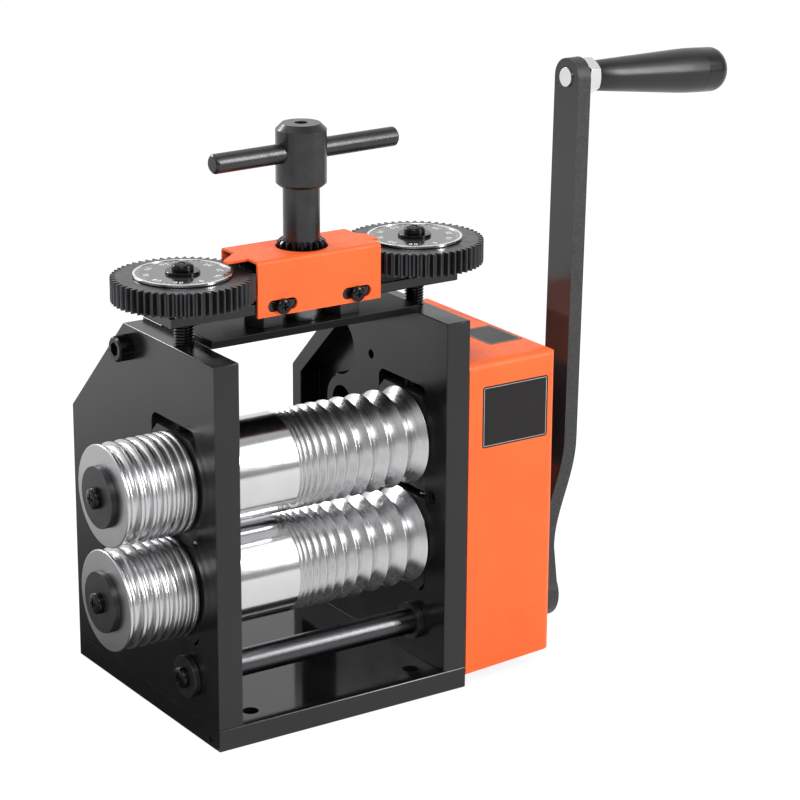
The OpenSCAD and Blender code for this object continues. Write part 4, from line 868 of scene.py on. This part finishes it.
def grip_outline():
    """Half section of the grip: bore, collar, long swell, seam of the end cap and its dome."""
    seam_half, seam_depth = 0.12, 0.1
    dome_in, dome_len = 9.5, 8
    dome = [(GRIP_R - dome_in * (1 - math.cos(a)), GRIP_END - dome_len * (1 - math.sin(a)))
            for a in [math.pi * k / 32 for k in range(17)]]
    swell = [(6.7, GRIP_START), (7.5, GRIP_START + 0.35), (7.9, GRIP_START + 1.2), (8.9, 28), (9.95, 44),
             (10.95, 59), (11.55, 68), (GRIP_R - 0.05, GRIP_TAPER)]
    return [(0, GRIP_TAPER), (GRIP_BORE_R, GRIP_TAPER), (GRIP_BORE_R, GRIP_START), *swell,
            (GRIP_R, GRIP_SEAM - seam_half), (GRIP_R - seam_depth, GRIP_SEAM),
            (GRIP_R, GRIP_SEAM + seam_half), *dome, (0, GRIP_END)]


grip = turned("grip_moulding", grip_outline(), grip_centre, "GRIP")
shade(grip, 30, flat_faces=False)
mount(grip, "crank_grip", grip_plastic)
outward = AXES["GRIP"][0]
paint_faces(grip, (grip_cap,), lambda face: int((face.center - grip_centre).dot(outward) > GRIP_SEAM * MM))


# Bare label plates on the gear cover

LABEL_PROUD = 0.1


def label_plate(name, low, high, normal):
    """Thin plate with round corners and a printed frame line, sunk half its thickness into the cover."""
    piece = block(name, low, high)
    normal = Vector(normal)

    def through(edge):
        first, second = [piece.data.vertices[i].co for i in edge.vertices]
        return abs((first - second).normalized().dot(normal)) > 0.9

    edit(piece, "EDGE", through)
    bpy.ops.mesh.bevel(offset=1.5 * MM, segments=5)
    close()
    edit(piece, "FACE", lambda face: face.normal.dot(normal) > 0.9)
    bpy.ops.mesh.inset(thickness=0.8 * MM)
    bpy.ops.mesh.inset(thickness=0.3 * MM)
    close()
    front = [face for face in piece.data.polygons if face.normal.dot(normal) > 0.9]
    inner = max(front, key=lambda face: face.area)
    corners = set(inner.vertices)
    paint_faces(piece, (label_black, label_line),
                lambda face: int(face.index != inner.index and bool(corners & set(face.vertices))))
    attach(piece, NODE_BODY["gear_cover"])


label_plate("front_label_plate", (83.4, FRONT_Y - LABEL_PROUD, 131.2), (124.8, FRONT_Y + LABEL_PROUD, 164.4),
            (0, -1, 0))
label_plate("side_label_plate", (COVER_X - LABEL_PROUD, -60, 104), (COVER_X + LABEL_PROUD, -8, 152),
            (1, 0, 0))
label_plate("top_label_plate", (104, -52, COVER_TOP - LABEL_PROUD), (125.2, -22, COVER_TOP + LABEL_PROUD),
            (0, 0, 1))


# Room: floor, walls, lamps and flags, with their sizes in metres

mill_middle = at(20, 0, 150)


def white_floor():
    """Paper floor that the camera and polished parts see nearly white."""
    floor = new_primitive("floor", bpy.ops.mesh.primitive_plane_add, size=6, location=(0, 0, -0.0002))
    settle(floor)
    paper = Look("floor_paper", (0.85, 0.85, 0.85), 0.9, Specular_IOR_Level=0.0)
    light_path = paper.nodes.new("ShaderNodeLightPath")
    glow = paper.nodes.new("ShaderNodeEmission")
    fill(glow, Strength=1.1)
    seen = paper.math("MAXIMUM", light_path.outputs["Is Camera Ray"], light_path.outputs["Is Glossy Ray"])
    paper.fade(paper.math("MULTIPLY", seen, 0.8), glow)
    floor.data.materials.append(paper.material)


def studio_world():
    """White to the camera. Polished parts see a white wall behind the mill and a dimmer room before it."""
    world = bpy.data.worlds.new("studio")
    bpy.context.scene.world = world
    world.use_nodes = True
    nodes, links = world.node_tree.nodes, world.node_tree.links
    light_path = nodes.new("ShaderNodeLightPath")
    coordinates = nodes.new("ShaderNodeTexCoord")
    split = nodes.new("ShaderNodeSeparateXYZ")
    links.new(coordinates.outputs["Generated"], split.inputs[0])
    room = nodes.new("ShaderNodeMapRange")
    fill(room, From_Min=-0.4, From_Max=0.3, To_Min=0.35, To_Max=1.0)
    links.new(split.outputs[1], room.inputs["Value"])
    unseen = nodes.new("ShaderNodeMapRange")
    fill(unseen, To_Min=0.62)
    links.new(light_path.outputs["Is Glossy Ray"], unseen.inputs["Value"])
    links.new(room.outputs[0], unseen.inputs["To Max"])
    level = nodes.new("ShaderNodeMath")
    level.operation = "MAXIMUM"
    links.new(light_path.outputs["Is Camera Ray"], level.inputs[0])
    links.new(unseen.outputs[0], level.inputs[1])
    sky = nodes["Background"]
    fill(sky, Color=(1, 1, 1, 1))
    links.new(level.outputs[0], sky.inputs["Strength"])


def lamp(name, place, width, height, power):
    """A soft box that faces the mill."""
    light = bpy.data.lights.new(name, "AREA")
    light.shape = "RECTANGLE"
    light.size, light.size_y, light.energy = width, height, power
    holder = bpy.data.objects.new(name, light)
    bpy.context.scene.collection.objects.link(holder)
    holder.location = place
    holder.rotation_euler = (mill_middle - Vector(place)).to_track_quat("-Z", "Y").to_euler()


def card(name, place, width, height, look):
    """A black flag beside the mill that only polished metal sees."""
    piece = new_primitive(name, bpy.ops.mesh.primitive_plane_add, size=1)
    piece.dimensions = (width, height, 0)
    piece.location = place
    piece.rotation_euler = (mill_middle - Vector(place)).to_track_quat("Z", "Y").to_euler()
    settle(piece)
    piece.data.materials.append(look)
    piece.visible_camera = piece.visible_diffuse = piece.visible_shadow = False


def floor_flag(x, y, cut_y):
    """A soft dark patch on the floor round a place, cut off slantwise towards the right.

    It darkens the foot of the left plate.
    """
    patch = new_primitive("floor_flag", bpy.ops.mesh.primitive_plane_add, size=1.3, location=(x, y, 0))
    settle(patch)
    shadow = Look("floor_flag", (0.01, 0.01, 0.01), 0.9)
    distance = shadow.nodes.new("ShaderNodeVectorMath")
    distance.operation = "LENGTH"
    shadow.links.new(shadow.centred((x, y, 0)), distance.inputs[0])
    clear = shadow.nodes.new("ShaderNodeBsdfTransparent")
    shadow.fade(shadow.spread(distance.outputs["Value"], 0, 1, start=0.06, end=0.6), clear)
    patch.data.materials.append(shadow.material)
    edit(patch)
    bpy.ops.mesh.bisect(plane_co=(x, cut_y, 0), plane_no=(0.7, -0.7, 0), use_fill=False, clear_outer=True)
    close()
    patch.visible_camera = patch.visible_diffuse = patch.visible_shadow = False


white_floor()
studio_world()
lamp("key_softbox", (-0.9, -1.1, 1.25), width=0.9, height=0.6, power=11)
lamp("side_softbox", (0.9, -1.25, 0.8), width=0.24, height=0.8, power=13)
lamp("fill_softbox", (0.85, -1.0, 1.25), width=0.8, height=0.9, power=4.4)
lamp("top_softbox", (0.1, 0.4, 1.5), width=0.9, height=0.7, power=4)
lamp("back_softbox", (-0.5, 1.3, 0.98), width=0.5, height=0.4, power=13)
card_black = Look("card_black", (0.02, 0.02, 0.02), 0.9).material
card("left_flag", (-1.5, -0.5, 0.3), width=0.3, height=1.6, look=card_black)
card("top_flag", (-0.2, -0.7, 1.3), width=1.4, height=0.2, look=card_black)
floor_flag(-0.08, 0.02, cut_y=-0.076)


# Camera of the photo: its turn, its place and its focal length in pixels of a picture that many pixels wide

YAW, PITCH, ROLL = math.radians(33.90), math.radians(17.87), math.radians(0.371)
CAMERA_PLACE = at(-697.5, -1160.9, 588.4)
FOCAL_PX, PICTURE_PX, SENSOR_W = 2740.3, 800, 36

forward = Vector((math.sin(YAW) * math.cos(PITCH), math.cos(YAW) * math.cos(PITCH), -math.sin(PITCH)))
level_right = Vector((math.cos(YAW), -math.sin(YAW), 0))
level_up = level_right.cross(forward)
right = math.cos(ROLL) * level_right + math.sin(ROLL) * level_up
up = -math.sin(ROLL) * level_right + math.cos(ROLL) * level_up
lens = bpy.data.cameras.new("camera")
lens.sensor_width = SENSOR_W
lens.lens = FOCAL_PX * SENSOR_W / PICTURE_PX
camera = bpy.data.objects.new("camera", lens)
bpy.context.scene.collection.objects.link(camera)
turn = Matrix((right, up, -forward)).transposed().to_4x4()
camera.matrix_world = Matrix.Translation(CAMERA_PLACE) @ turn
bpy.context.scene.camera = camera
bpy.context.scene.view_settings.view_transform = "Standard"
